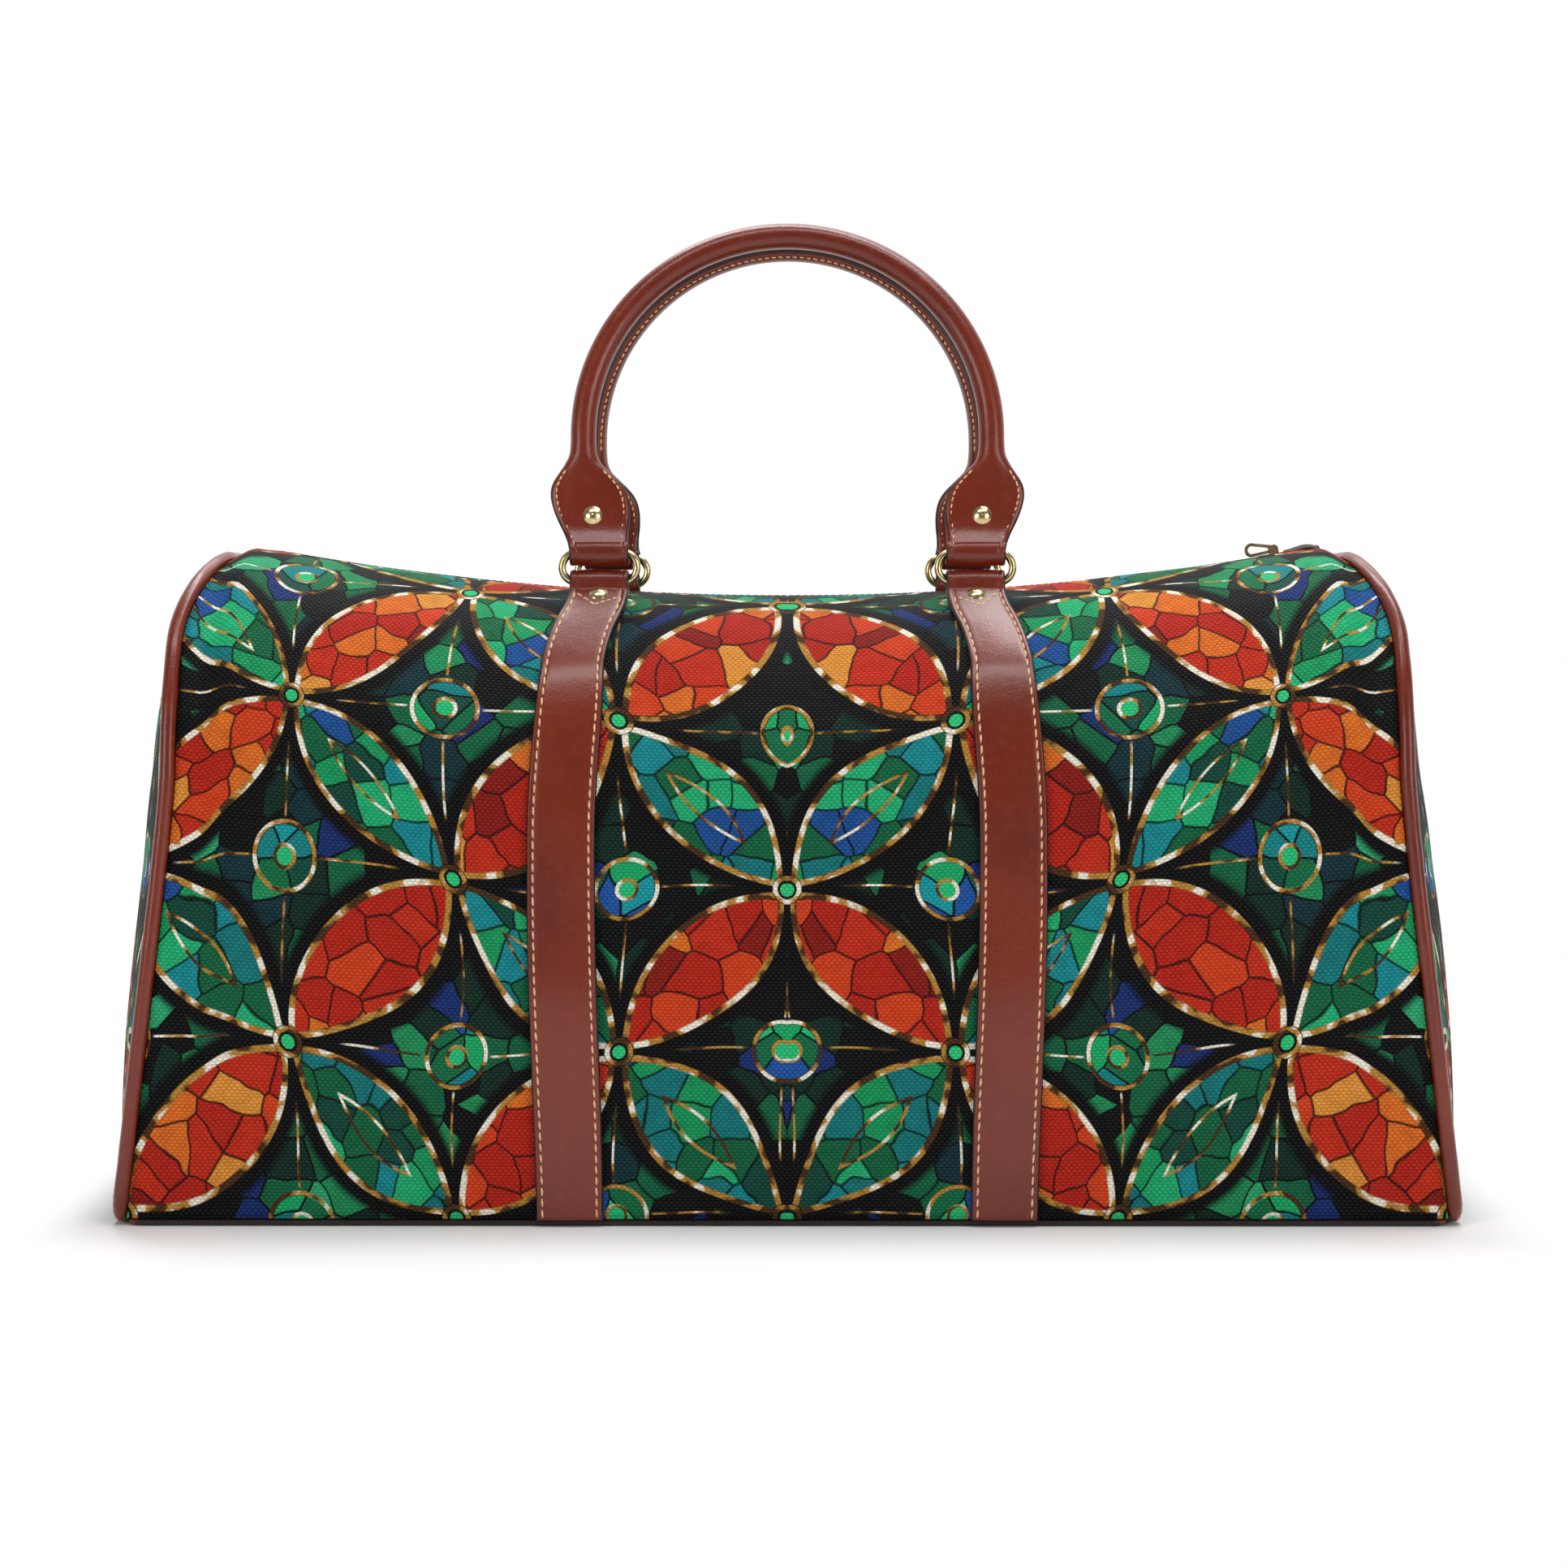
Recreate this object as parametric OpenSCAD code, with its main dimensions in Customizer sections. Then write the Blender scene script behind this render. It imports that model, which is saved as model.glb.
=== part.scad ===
// Weekend travel bag: a soft zipped body of printed cloth on a leather base, with piped
// ends, four sewn straps and two rolled handles that hang on oval rings.
// The origin is the middle of the base. X runs along the zip, -Y is the front, +Z is up.

/* [Bag body] */
// Length of the base between the piping centres
base_length = 608; // [575:1:640]
// How far each end leans in by the waist
waist_inset = 24.5; // [12:0.5:30]
// How far each end leans in by the ridge
ridge_inset = 38; // [28:0.5:46]
// Depth of the base from front to back
base_depth = 226; // [210:1:250]
// Height of the ridge at the middle of the zip
ridge_height = 286; // [262:1:310]
// Height of the rounded shoulder under the ridge
shoulder_height = 105; // [95:1:120]
// Width of the flat strip along the ridge
ridge_width = 48; // [44:1:54]
// Radius of the sag along the ridge
sag_radius = 1400; // [1200:10:2400]
// Fall of the ridge past each end of the zip
end_drop = 7; // [2:0.5:9]
// Outward swell of the front and back walls
wall_swell = 3; // [0:0.5:5]
// Outward swell of each end panel
end_swell = 24; // [4:0.5:30]
// Thickness of the printed cloth
cloth_t = 1.6; // [1:0.1:2]
// Thickness of the leather base
base_t = 2.8; // [2:0.1:4]
// Thickness of the stiff board on the base
board_t = 3; // [2:0.1:5]
// Thickness of the lining
lining_t = 0.8; // [0.5:0.1:1.2]

/* [Piping] */
// Diameter of the piping round each end
piping_d = 7.2; // [5:0.1:9]
// Radius of the piping at the corners of the base
piping_corner = 9; // [7:0.5:16]

/* [Straps] */
// Width of a strap
strap_w = 31; // [28:0.5:34]
// Thickness of a strap
strap_t = 2.4; // [1.8:0.1:2.8]
// How far a strap stands outside its ring, at the base
strap_out_base = 10.5; // [0:0.5:20]
// How far a strap stands outside its ring, half way up
strap_out_mid = 14; // [0:0.5:20]

/* [Rings] */
// Distance between the front and back ring bars
ring_spacing = 104; // [96:1:112]
// How far a ring sits inside the end of the grip's arch
ring_inset = 8; // [2:0.5:12]
// Outside width of a ring
ring_w = 38; // [37.5:0.5:44]
// Outside height of a ring
ring_h = 17; // [16:0.5:20]
// Diameter of the ring wire
ring_wire = 3; // [2.4:0.1:3.4]
// Height of the lower ring bar above the cloth
ring_lift = 9; // [9:0.5:13]
// Width of the leather that loops over a ring
loop_w = 27; // [24:0.5:28]

/* [Handles] */
// Diameter of a rolled grip
grip_d = 12; // [10:0.2:15]
// Radius of the grip's arch along its centre
grip_radius = 96; // [90:0.5:104]
// Height of the arch's centre above the upper ring bar
grip_rise = 56.5; // [52:0.5:64]
// Angle by which a standing handle leans in over the zip
handle_lean = 10; // [4:0.5:11]
// Thickness of the leather in the handles
handle_t = 2.3; // [1.8:0.1:2.6]
// Greatest width of a handle end
tab_w = 38; // [32:0.5:40]

/* [Rivets] */
// Diameter of a rivet cap
rivet_d = 9.2; // [7:0.1:11]
// Height of a domed rivet cap
rivet_h = 1.9; // [1.2:0.1:2.4]
// Diameter of a rivet post
post_d = 3; // [2:0.1:4]

/* [Zip] */
// Distance from each end of the zip to the end of the ridge
zip_margin = 16; // [14:0.5:40]
// Width of the slot between the two walls
slot_w = 16; // [14:0.5:20]
// Thickness of the zip tape
tape_t = 1; // [0.6:0.1:1.2]
// Distance from one tooth to the next
tooth_pitch = 4; // [3.6:0.1:6]
// Length of the slider
slider_l = 16; // [13:0.5:20]
// Length of the slider's looped pull from its pin
pull_l = 14; // [12:0.5:20]

/* [Hidden] */
$fn = 48;

leather = "#8a3a22";
print_cloth = "#1c4a3a";
gold = "#c9a95c";
dark_cloth = "#2a2523";

// Clearance between sewn pieces, and between a rivet and its hole
gap = 0.3;
rivet_gap = 0.15;

// Body
base_half = base_length / 2;
waist_half = base_half - waist_inset;
ridge_half = base_half - ridge_inset;
depth_half = base_depth / 2;
flat_half = ridge_width / 2;
shoulder_depth = depth_half - flat_half;
wall_top = ridge_height - shoulder_height;
sag_centre = ridge_height + sag_radius;
flare_power = 1.15;
flare_top = 0.67 * ridge_height;
tuck_from = 0.86 * ridge_height;
piping_r = piping_d / 2;
end_inset = piping_r + gap;
wall_foot = base_t + gap;
lining_foot = base_t + board_t + 2 * gap;
lining_out = -cloth_t - 3 * gap;
lining_slack = 1.5;

// Stations along the profile: the wall from 0 to 1, the shoulder to 2 and the flat ridge to 3
profile_stations = [
    0, 0.14, 0.3, 0.5, 0.7, 0.87, 1, 1.12, 1.24, 1.36, 1.48, 1.6, 1.72, 1.84, 1.93, 2, 2.5, 3,
];
length_stations = [
    -1, -0.975, -0.95, -0.92, -0.86, -0.72, -0.56, -0.4, -0.2, 0,
    0.2, 0.4, 0.56, 0.72, 0.86, 0.92, 0.95, 0.975, 1,
];
swell_steps = [1, 0.92, 0.78, 0.58, 0.32];
around_sides = 10;

// Zip
zip_half = ridge_half - zip_margin;
slot_half = slot_w / 2;
slot_close = 8;
seam_half = 0.2;
tape_top = cloth_t + 0.5;
tape_inner = 3.2;
tape_outer = flat_half - 2;
row_outer = tape_inner - 0.1;
row_inner = 0.9;
row_top = tape_top - 1.1;
row_bottom = tape_top + tape_t + 0.7;
rail_w = 1;
tooth_w = tooth_pitch - 2.3;
stop_l = 2.6;
row_half = zip_half - stop_l - 2.4;
slider_rest = row_half - slider_l / 2 - 1;
slider_w = 11;
plate_t = 1.8;
flange_w = 1.2;
ear_t = 1.2;
ear_in = 1.6;
ear_h = 4.2;
pin_r = 0.8;
pin_lift = 2.4;
pull_t = 1.8;
pull_w = 6.8;
pull_tilt = 6;
arc_fn = 720;

// Rings and straps
ring_x = grip_radius - ring_inset;
strap_x_base = ring_x + strap_out_base;
strap_x_mid = ring_x + strap_out_mid;
wire_r = ring_wire / 2;
bar_rise = ring_h - ring_wire;
ring_end_r = bar_rise / 2;
ring_straight = ring_w / 2 - wire_r - ring_end_r;
loop_bore = wire_r + 1.2;
ring_y = -ring_spacing / 2;
lower_bar = cloth_height(ring_x, ring_y) + ring_lift;
upper_bar = lower_bar + bar_rise;
lift_station = 1.58;
fold_l = 16.5;
slab_l = 18;
strap_lean = 0.68 * strap_out_mid;
strap_rivet_at = 10.5;
strap_stations = [for (t = profile_stations) if (t < lift_station - 0.05) t];
strap_gap = 0.5;
lift_point = skin(ring_x, lift_station, strap_gap);
lift_run = [lift_point.y - ring_y, lift_point.z - lower_bar];
lift_length = norm(lift_run);
lift_angle = atan2(lift_run.y, lift_run.x);

// Handles
grip_r = grip_d / 2;
core_bore = grip_r - 1.8;
core_r = core_bore - 0.2;
arch_z = upper_bar + grip_rise;
leg_l = 11;
leg_foot = arch_z - leg_l;
neck_rise = grip_rise - leg_l;
tab_sides = 20;
tab_rivet_rise = 0.375 * neck_rise;
tab_lean = ring_inset / (grip_rise - 14);

function clamp(v, low, high) = min(max(v, low), high);

function smooth(from, to, v) = let (s = clamp((v - from) / (to - from), 0, 1)) s * s * (3 - 2 * s);

function unit(v) = v / norm(v);

function flatten(lists) = [for (l = lists) each l];

// Height of the ridge along the bag: an arc that falls away past each end of the zip
function ridge_arc(x) = sag_centre - sqrt(sag_radius * sag_radius - x * x);
function ridge_z(x) = ridge_arc(x) - end_drop * smooth(zip_half + 2, ridge_half, abs(x));

// Distance from the middle to the seam of an end panel, at a height up the middle profile
function end_x(z) =
    let (tuck = max(0, (z - tuck_from) / (ridge_height - tuck_from)))
    waist_half + (base_half - waist_half) * pow(max(0, 1 - z / flare_top), flare_power)
    - (waist_half - ridge_half) * tuck * tuck;

// Half the slot between the walls, which closes to a seam past each end of the zip
function slot_edge(x) =
    seam_half + (slot_half - seam_half) * (1 - smooth(zip_half, zip_half + slot_close, abs(x)));

// Front half of the cross-section as [y, z], from the wall's foot to the slot
function profile(t, foot = wall_foot, edge = slot_half) =
    t <= 1 ? let (z = foot + (wall_top - foot) * t, s = sin(180 * z / wall_top))
        [-depth_half - wall_swell * s * s, z]
    : t <= 2 ? [-flat_half - shoulder_depth * cos(90 * (t - 1)), wall_top + shoulder_height * sin(90 * (t - 1))]
    : [-flat_half + (flat_half - edge) * (t - 2), ridge_height];

// Outward normal of the profile
function profile_normal(t) =
    let (step = 0.02, a = profile(max(0, t - step)), b = profile(min(3, t + step)), d = unit(b - a))
    [-d.y, d.x];

// Point of the bag's skin at x and station t, moved outwards by out
function skin(x, t, out = 0, foot = wall_foot, edge = slot_half) =
    let (p = profile(t, foot, edge) + out * profile_normal(t)) [x, p.x, p.y * ridge_z(x) / ridge_height];

// Height of the cloth over a point of the shoulder
function cloth_height(x, y) =
    let (s = (abs(y) - flat_half) / shoulder_depth)
    (wall_top + shoulder_height * sqrt(1 - s * s)) * ridge_z(x) / ridge_height;

// Outline of an end as [y, z] pairs of the middle profile, set in by inset, from the front round the top
function end_half(inset, foot, corner) = concat(
    [for (a = [90, 60, 30, 0]) [-depth_half + inset + corner * (1 - cos(a)), foot + corner * (1 - sin(a))]],
    [for (t = profile_stations) if (t >= 0.13 && t <= 2) profile(t, wall_foot) - inset * profile_normal(t)]
);

function end_outline(inset, foot, corner) =
    let (front = end_half(inset, foot, corner), last = len(front) - 1)
    concat(
        front,
        [[0, ridge_height - inset]],
        [for (i = [last:-1:0]) [-front[i].x, front[i].y]],
        [for (s = [0.7, 0, -0.7]) [s * (depth_half - inset - corner), foot]]
    );

// Places a point of an end outline in space, out being its distance past the seam
function end_point(p, out) =
    let (x = end_x(p.y)) [x + out, p.x, p.y * ridge_z(x) / ridge_height];

// Closed sheet between two grids of points, rows along X and columns up the profile
module sheet(outer, inner) {
    rows = len(outer);
    cols = len(outer[0]);
    n = rows * cols;
    function at(i, j) = i * cols + j;
    polyhedron(
        points = concat(flatten(outer), flatten(inner)),
        faces = concat(
            [for (i = [0:rows - 2], j = [0:cols - 2]) [at(i, j), at(i, j + 1), at(i + 1, j + 1), at(i + 1, j)]],
            [for (i = [0:rows - 2], j = [0:cols - 2])
                [n + at(i, j), n + at(i + 1, j), n + at(i + 1, j + 1), n + at(i, j + 1)]],
            [for (i = [0:rows - 2]) [at(i, 0), at(i + 1, 0), n + at(i + 1, 0), n + at(i, 0)]],
            [for (i = [0:rows - 2])
                [at(i, cols - 1), n + at(i, cols - 1), n + at(i + 1, cols - 1), at(i + 1, cols - 1)]],
            [for (j = [0:cols - 2]) [at(0, j), n + at(0, j), n + at(0, j + 1), at(0, j + 1)]],
            [for (j = [0:cols - 2])
                [at(rows - 1, j), at(rows - 1, j + 1), n + at(rows - 1, j + 1), n + at(rows - 1, j)]]
        ),
        convexity = 6
    );
}

// Solid through a row of rings of points, capped at both ends or joined into a loop
module loft(rings, looped = false) {
    count = len(rings);
    sides = len(rings[0]);
    last = looped ? count - 1 : count - 2;
    function at(i, j) = (i % count) * sides + j % sides;
    polyhedron(
        points = flatten(rings),
        faces = concat(
            [for (i = [0:last], j = [0:sides - 1]) [at(i, j), at(i + 1, j), at(i + 1, j + 1), at(i, j + 1)]],
            looped ? [] : [
                [for (j = [0:sides - 1]) at(0, j)],
                [for (j = [sides - 1:-1:0]) at(count - 1, j)],
            ]
        ),
        convexity = 6
    );
}

// Front wall from the base seam to the zip slot
module wall() {
    function grid(out) = [for (u = length_stations) [for (t = profile_stations)
        let (x = u * (end_x(profile(t).y) - end_inset)) skin(x, t, out, edge = slot_edge(x))]];
    color(print_cloth) sheet(grid(0), grid(-cloth_t));
}

// Domed end panel inside its piping
module end_cloth(inset, foot, thick, out) {
    outline = end_outline(inset, foot, piping_corner);
    middle = [0, ridge_height / 2];
    count = len(outline);
    function ring(s, shift) = [for (p = outline)
        end_point(middle + s * (p - middle), out + shift + end_swell * (1 - s * s))];
    function crown(shift) = end_point(middle, out + shift + end_swell);
    steps = len(swell_steps);
    n = steps * count + 1;
    function at(i, j) = i * count + j % count;
    polyhedron(
        points = concat(
            flatten([for (s = swell_steps) ring(s, 0)]), [crown(0)],
            flatten([for (s = swell_steps) ring(s, -thick)]), [crown(-thick)]
        ),
        faces = concat(
            [for (i = [0:steps - 2], j = [0:count - 1]) [at(i, j), at(i, j + 1), at(i + 1, j + 1), at(i + 1, j)]],
            [for (j = [0:count - 1]) [at(steps - 1, j), at(steps - 1, j + 1), n - 1]],
            [for (i = [0:steps - 2], j = [0:count - 1])
                [n + at(i, j), n + at(i + 1, j), n + at(i + 1, j + 1), n + at(i, j + 1)]],
            [for (j = [0:count - 1]) [n + at(steps - 1, j), 2 * n - 1, n + at(steps - 1, j + 1)]],
            [for (j = [0:count - 1]) [at(0, j), n + at(0, j), n + at(0, j + 1), at(0, j + 1)]]
        ),
        convexity = 6
    );
}

module end_panel() color(print_cloth) end_cloth(cloth_t / 2 + end_inset, piping_d + gap, cloth_t, cloth_t / 2);

// Round piping along the seam of one end
module piping() {
    path = [for (p = end_outline(cloth_t / 2, piping_r, piping_corner)) end_point(p, 0)];
    count = len(path);
    rings = [for (i = [0:count - 1])
        let (
            ahead = unit(path[(i + 1) % count] - path[(i + count - 1) % count]),
            side = unit(cross(ahead, [1, 0, 0])),
            out = cross(side, ahead)
        )
        [for (k = [0:around_sides - 1]) let (a = 360 * k / around_sides)
            path[i] + piping_r * (cos(a) * side - sin(a) * out)]];
    color(leather) loft(rings, looped = true);
}

// Flat plate with cut corners that lies inside the seams of the base
module floor_plate(inset, from, thick) {
    x = base_half - end_inset - inset;
    y = depth_half - inset;
    cut = piping_corner / 2;
    translate([0, 0, from]) linear_extrude(thick) polygon([
        [-x, cut - y], [cut - x, -y], [x - cut, -y], [x, cut - y],
        [x, y - cut], [x - cut, y], [cut - x, y], [-x, y - cut],
    ]);
}

module base_panel() color(leather) floor_plate(0.2, 0, base_t);

module base_board() color(dark_cloth) floor_plate(cloth_t + 2 * gap + 1, base_t + gap, board_t);

// Lining of the walls and floor in one wrap, from one edge of the zip to the other
module lining_body() {
    stations = [for (t = profile_stations) if (t <= 2) t];
    last = len(stations) - 1;
    reach = lining_t + 2 * gap;
    function row(u, out, foot) =
        let (
            front = [for (t = stations)
                let (
                    x = u * (end_x(profile(t).y) - end_inset - reach),
                    slack = lining_slack * smooth(zip_half - 10, ridge_half, abs(x))
                )
                skin(x, t, out - slack, foot)],
            down = [for (i = [last:-1:0]) front[i]]
        )
        concat(down, [for (p = front) [p.x, -p.y, p.z]]);
    function grid(out, foot) = [for (i = [len(length_stations) - 1:-1:0]) row(length_stations[i], out, foot)];
    color(dark_cloth) sheet(grid(lining_out, lining_foot), grid(lining_out - lining_t, lining_foot + lining_t));
}

module lining_end() {
    color(dark_cloth) end_cloth(
        cloth_t + end_inset + lining_t + 3 * gap, lining_foot + lining_t + 2 * gap, lining_t,
        -cloth_t / 2 - gap
    );
}

// Turns a piece from the middle of the zip to a place along its arc
module along_zip(x) {
    translate([0, 0, sag_centre]) rotate([0, -asin(x / sag_radius), 0]) translate([0, 0, -sag_centre]) children();
}

// Strip that follows the arc of the zip: from and to are depths under the ridge
module zip_strip(y_from, y_to, from, to, half) {
    sweep = 2 * asin(half / sag_radius);
    translate([0, 0, sag_centre]) rotate([90, 0, 0]) rotate([0, 0, -90 - sweep / 2])
        rotate_extrude(angle = sweep, $fn = arc_fn)
            translate([sag_radius + from, y_from]) square([to - from, y_to - y_from]);
}

module zip_tape() color(dark_cloth) zip_strip(tape_inner, tape_outer, tape_top, tape_top + tape_t, zip_half);

// One row of teeth on its rail, front row at phase 0 and back row half a pitch on
module tooth_row(phase) {
    count = floor(2 * row_half / tooth_pitch) - 1;
    first = -(count - 1) / 2 + phase - 0.25;
    color(dark_cloth) {
        zip_strip(row_outer - rail_w, row_outer, row_top + 0.5, row_bottom - 0.5, row_half);
        for (i = [0:count - 1]) along_zip((first + i) * tooth_pitch)
            translate([-tooth_w / 2, -row_outer + 0.1, ridge_height - row_bottom])
                cube([tooth_w, row_outer - row_inner - 0.1, row_bottom - row_top]);
    }
}

module zip_stops() {
    for (side = [-1, 1]) color(gold) along_zip(side * (row_half + stop_l / 2 + 0.4))
        translate([-stop_l / 2, -row_outer, ridge_height - row_bottom])
            cube([stop_l, 2 * row_outer, row_bottom - row_top]);
}

// Free end of the zip tape, which lies over the end of the ridge
module zip_tail() {
    tail_half = 6.5;
    tail_t = 1.2;
    steps = [[-3.4, -0.7], [-0.4, 0.4], [2.4, 0.5], [6, -0.7]];
    function row(s, up) = [for (y = [-tail_half, tail_half])
        [zip_half + s.x, y, ridge_arc(zip_half + s.x) + s.y + up]];
    color(dark_cloth) sheet(
        [for (i = [len(steps) - 1:-1:0]) [for (k = [1, 0]) row(steps[i], tail_t)[k]]],
        [for (i = [len(steps) - 1:-1:0]) [for (k = [1, 0]) row(steps[i], 0)[k]]]
    );
}

// Slider plate with its nose towards the closed end
module slider_plate(from) {
    half = slider_l / 2;
    wide = slider_w / 2;
    translate([0, 0, from]) linear_extrude(plate_t) polygon([
        [-half, -wide * 0.72], [-half, wide * 0.72], [half * 0.1, wide],
        [half * 0.8, wide], [half, wide * 0.7], [half, -wide * 0.7], [half * 0.8, -wide], [half * 0.1, -wide],
    ]);
}

module slider_flange(y_from, from, to) {
    translate([0, y_from, from]) cube([slider_l / 2 * 0.8, flange_w, to - from]);
}

module slider_ear() {
    difference() {
        union() {
            translate([-2, 0, 0]) cube([4, ear_t, pin_lift]);
            translate([0, ear_t, pin_lift]) rotate([90, 0, 0]) cylinder(r = 2, h = ear_t);
        }
        translate([0, ear_t + 1, pin_lift]) rotate([90, 0, 0]) cylinder(r = pin_r + 0.08, h = ear_t + 2);
    }
}

module zip_slider() {
    top = ridge_height - row_top + gap;
    bottom = ridge_height - row_bottom - gap - plate_t;
    wide = slider_w / 2;
    color(gold) along_zip(slider_rest) {
        slider_plate(top);
        slider_plate(bottom);
        translate([1, -row_inner + gap, bottom + plate_t / 2]) cube([5, 2 * (row_inner - gap), top - bottom]);
        for (y = [-wide, wide - flange_w]) {
            slider_flange(y, ridge_height - tape_top + gap, top + 0.5);
            slider_flange(y, bottom + plate_t - 0.5, ridge_height - tape_top - tape_t - gap);
        }
        translate([0, ear_in, top + plate_t - 0.2]) slider_ear();
        mirror([0, 1, 0]) translate([0, ear_in, top + plate_t - 0.2]) slider_ear();
    }
}

// Looped pull: an upright loop on the slider's pin, lying back over the closed teeth
module zip_pull() {
    pin_z = ridge_height - row_top + gap + plate_t - 0.2 + pin_lift;
    eye_r = pull_w / 2;
    eye_at = eye_r - pull_l;
    boss_r = pin_lift - 0.7;
    wire = 1.5;
    open_from = -boss_r - wire;
    open_r = 0.7;
    color(gold) along_zip(slider_rest) translate([0, 0, pin_z]) rotate([0, pull_tilt, 0]) {
        translate([0, ear_in + ear_t, 0]) rotate([90, 0, 0]) cylinder(r = pin_r, h = 2 * (ear_in + ear_t));
        translate([0, pull_t / 2, 0]) rotate([90, 0, 0]) linear_extrude(pull_t) difference() {
            union() {
                circle(r = boss_r);
                translate([eye_at, 0]) circle(r = eye_r);
                polygon([[0, boss_r], [0, -boss_r], [eye_at, -eye_r], [eye_at, eye_r]]);
            }
            translate([open_from, 0]) circle(r = open_r);
            translate([eye_at, 0]) circle(r = eye_r - wire);
            polygon([
                [open_from, open_r], [open_from, -open_r], [eye_at, wire - eye_r], [eye_at, eye_r - wire],
            ]);
        }
    }
}

// Leather folded over a ring bar: an eye at the origin and two layers along +X, across Z
module loop_fold(width, thick, inner_l, outer_l) {
    start = loop_bore + thick / 2;
    translate([0, 0, -width / 2]) linear_extrude(width) difference() {
        union() {
            circle(r = loop_bore + thick);
            translate([start, -thick]) square([inner_l - start, thick]);
            translate([start, 0]) square([outer_l - start, thick]);
        }
        circle(r = loop_bore);
    }
}

// Moves loop_fold's frame to a ring bar, with its layers along the strap
module at_lower_bar() {
    translate([ring_x, ring_y, lower_bar]) rotate([lift_angle, 0, 0]) rotate([90, 0, 90]) children();
}

// Middle of a strap over its height
function strap_x(z) =
    strap_x_base + (strap_x_mid - strap_x_base) * smooth(0, 0.85 * wall_top, z)
    - (strap_out_mid - strap_lean) * smooth(wall_top - 8, ridge_height - 20, z);

// Rectangle across a strap at a station of the skin
function strap_ring(t) =
    let (
        x = strap_x(profile(t).y), half = strap_w / 2,
        a = skin(x - half, t, strap_gap), b = skin(x + half, t, strap_gap),
        c = skin(x + half, t, strap_gap + strap_t), d = skin(x - half, t, strap_gap + strap_t)
    )
    [a, d, c, b];

// Rectangle across the lifted end of a strap, at a distance from the ring bar
function lifted_ring(run, half, from, to) =
    let (
        along = [lift_run.x, lift_run.y] / lift_length, out = [along.y, -along.x],
        x = ring_x + strap_lean * smooth(slab_l - 1, lift_length + 4, run),
        low = [ring_y, lower_bar] + run * along + from * out,
        high = [ring_y, lower_bar] + run * along + to * out
    )
    [
        [x - half, low.x, low.y], [x - half, high.x, high.y],
        [x + half, high.x, high.y], [x + half, low.x, low.y],
    ];

// Front right strap, sewn up the wall and folded over the lower bar of its ring
module strap() {
    half = loop_w / 2;
    color(leather) difference() {
        union() {
            loft(concat(
                [for (t = strap_stations) strap_ring(t)],
                [lifted_ring(lift_length - 5, strap_w / 2 - 0.6, 0.6, strap_t + 0.6)],
                [lifted_ring((lift_length + slab_l) / 2 - 2, strap_w / 2 - 1.4, 0.3, strap_t + 0.3)],
                [lifted_ring(slab_l + 1, half + 0.1, 0, strap_t)],
                [lifted_ring(slab_l - 8, half - 0.2, 0.2, strap_t - 0.2)]
            ));
            at_lower_bar() mirror([0, 1, 0]) loop_fold(loop_w, strap_t, fold_l, slab_l);
        }
        strap_rivet_hole();
    }
}

module strap_rivet_hole() {
    at_lower_bar() translate([strap_rivet_at, 0, 0]) rotate([90, 0, 0])
        translate([0, 0, -10]) cylinder(r = post_d / 2 + rivet_gap, h = 20);
}

// Rivet along Z through a thickness: a domed cap above, a flat cap below
module rivet(thick, back_h) {
    cap_r = rivet_d / 2;
    dome_r = (cap_r * cap_r + rivet_h * rivet_h) / (2 * rivet_h);
    half = thick / 2 + 0.1;
    color(gold) {
        translate([0, 0, -half - back_h / 2]) cylinder(d = post_d, h = 2 * half + back_h / 2 + rivet_h / 2);
        translate([0, 0, half]) intersection() {
            cylinder(r = cap_r, h = rivet_h + 1);
            translate([0, 0, rivet_h - dome_r]) sphere(r = dome_r);
        }
        translate([0, 0, -half - back_h]) cylinder(r = cap_r * 0.85, h = back_h);
    }
}

module strap_rivet() at_lower_bar() translate([strap_rivet_at, 0, 0]) rotate([90, 0, 0]) rivet(2 * strap_t, 0.9);

module strap_rivets() {
    for (x = [0, 1], y = [0, 1]) mirror([x, 0, 0]) mirror([0, y, 0]) strap_rivet();
}

// Oval ring standing on its lower bar
module ring() {
    color(gold) translate([ring_x, ring_y, lower_bar + ring_end_r]) rotate([90, 0, 0]) {
        for (side = [0, 180]) rotate([0, 0, side]) {
            translate([ring_straight, 0, 0]) rotate([0, 0, -90]) rotate_extrude(angle = 180)
                translate([ring_end_r, 0]) circle(r = wire_r);
            translate([-ring_straight, ring_end_r, 0]) rotate([0, 90, 0])
                cylinder(r = wire_r, h = 2 * ring_straight);
        }
    }
}

// Cross-section of a handle end: a rounded flat that turns into the round grip
function tab_ring(rise, half_w, half_t, power) =
    let (x = ring_x + tab_lean * clamp(rise, 0, grip_rise - 14), z = upper_bar + rise)
    [for (k = [0:tab_sides - 1])
        let (a = 360 * k / tab_sides, c = cos(a), s = sin(a))
        [
            x + half_w * sign(c) * pow(abs(c), 2 / power),
            ring_y + half_t * sign(s) * pow(abs(s), 2 / power),
            z,
        ]];

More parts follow.
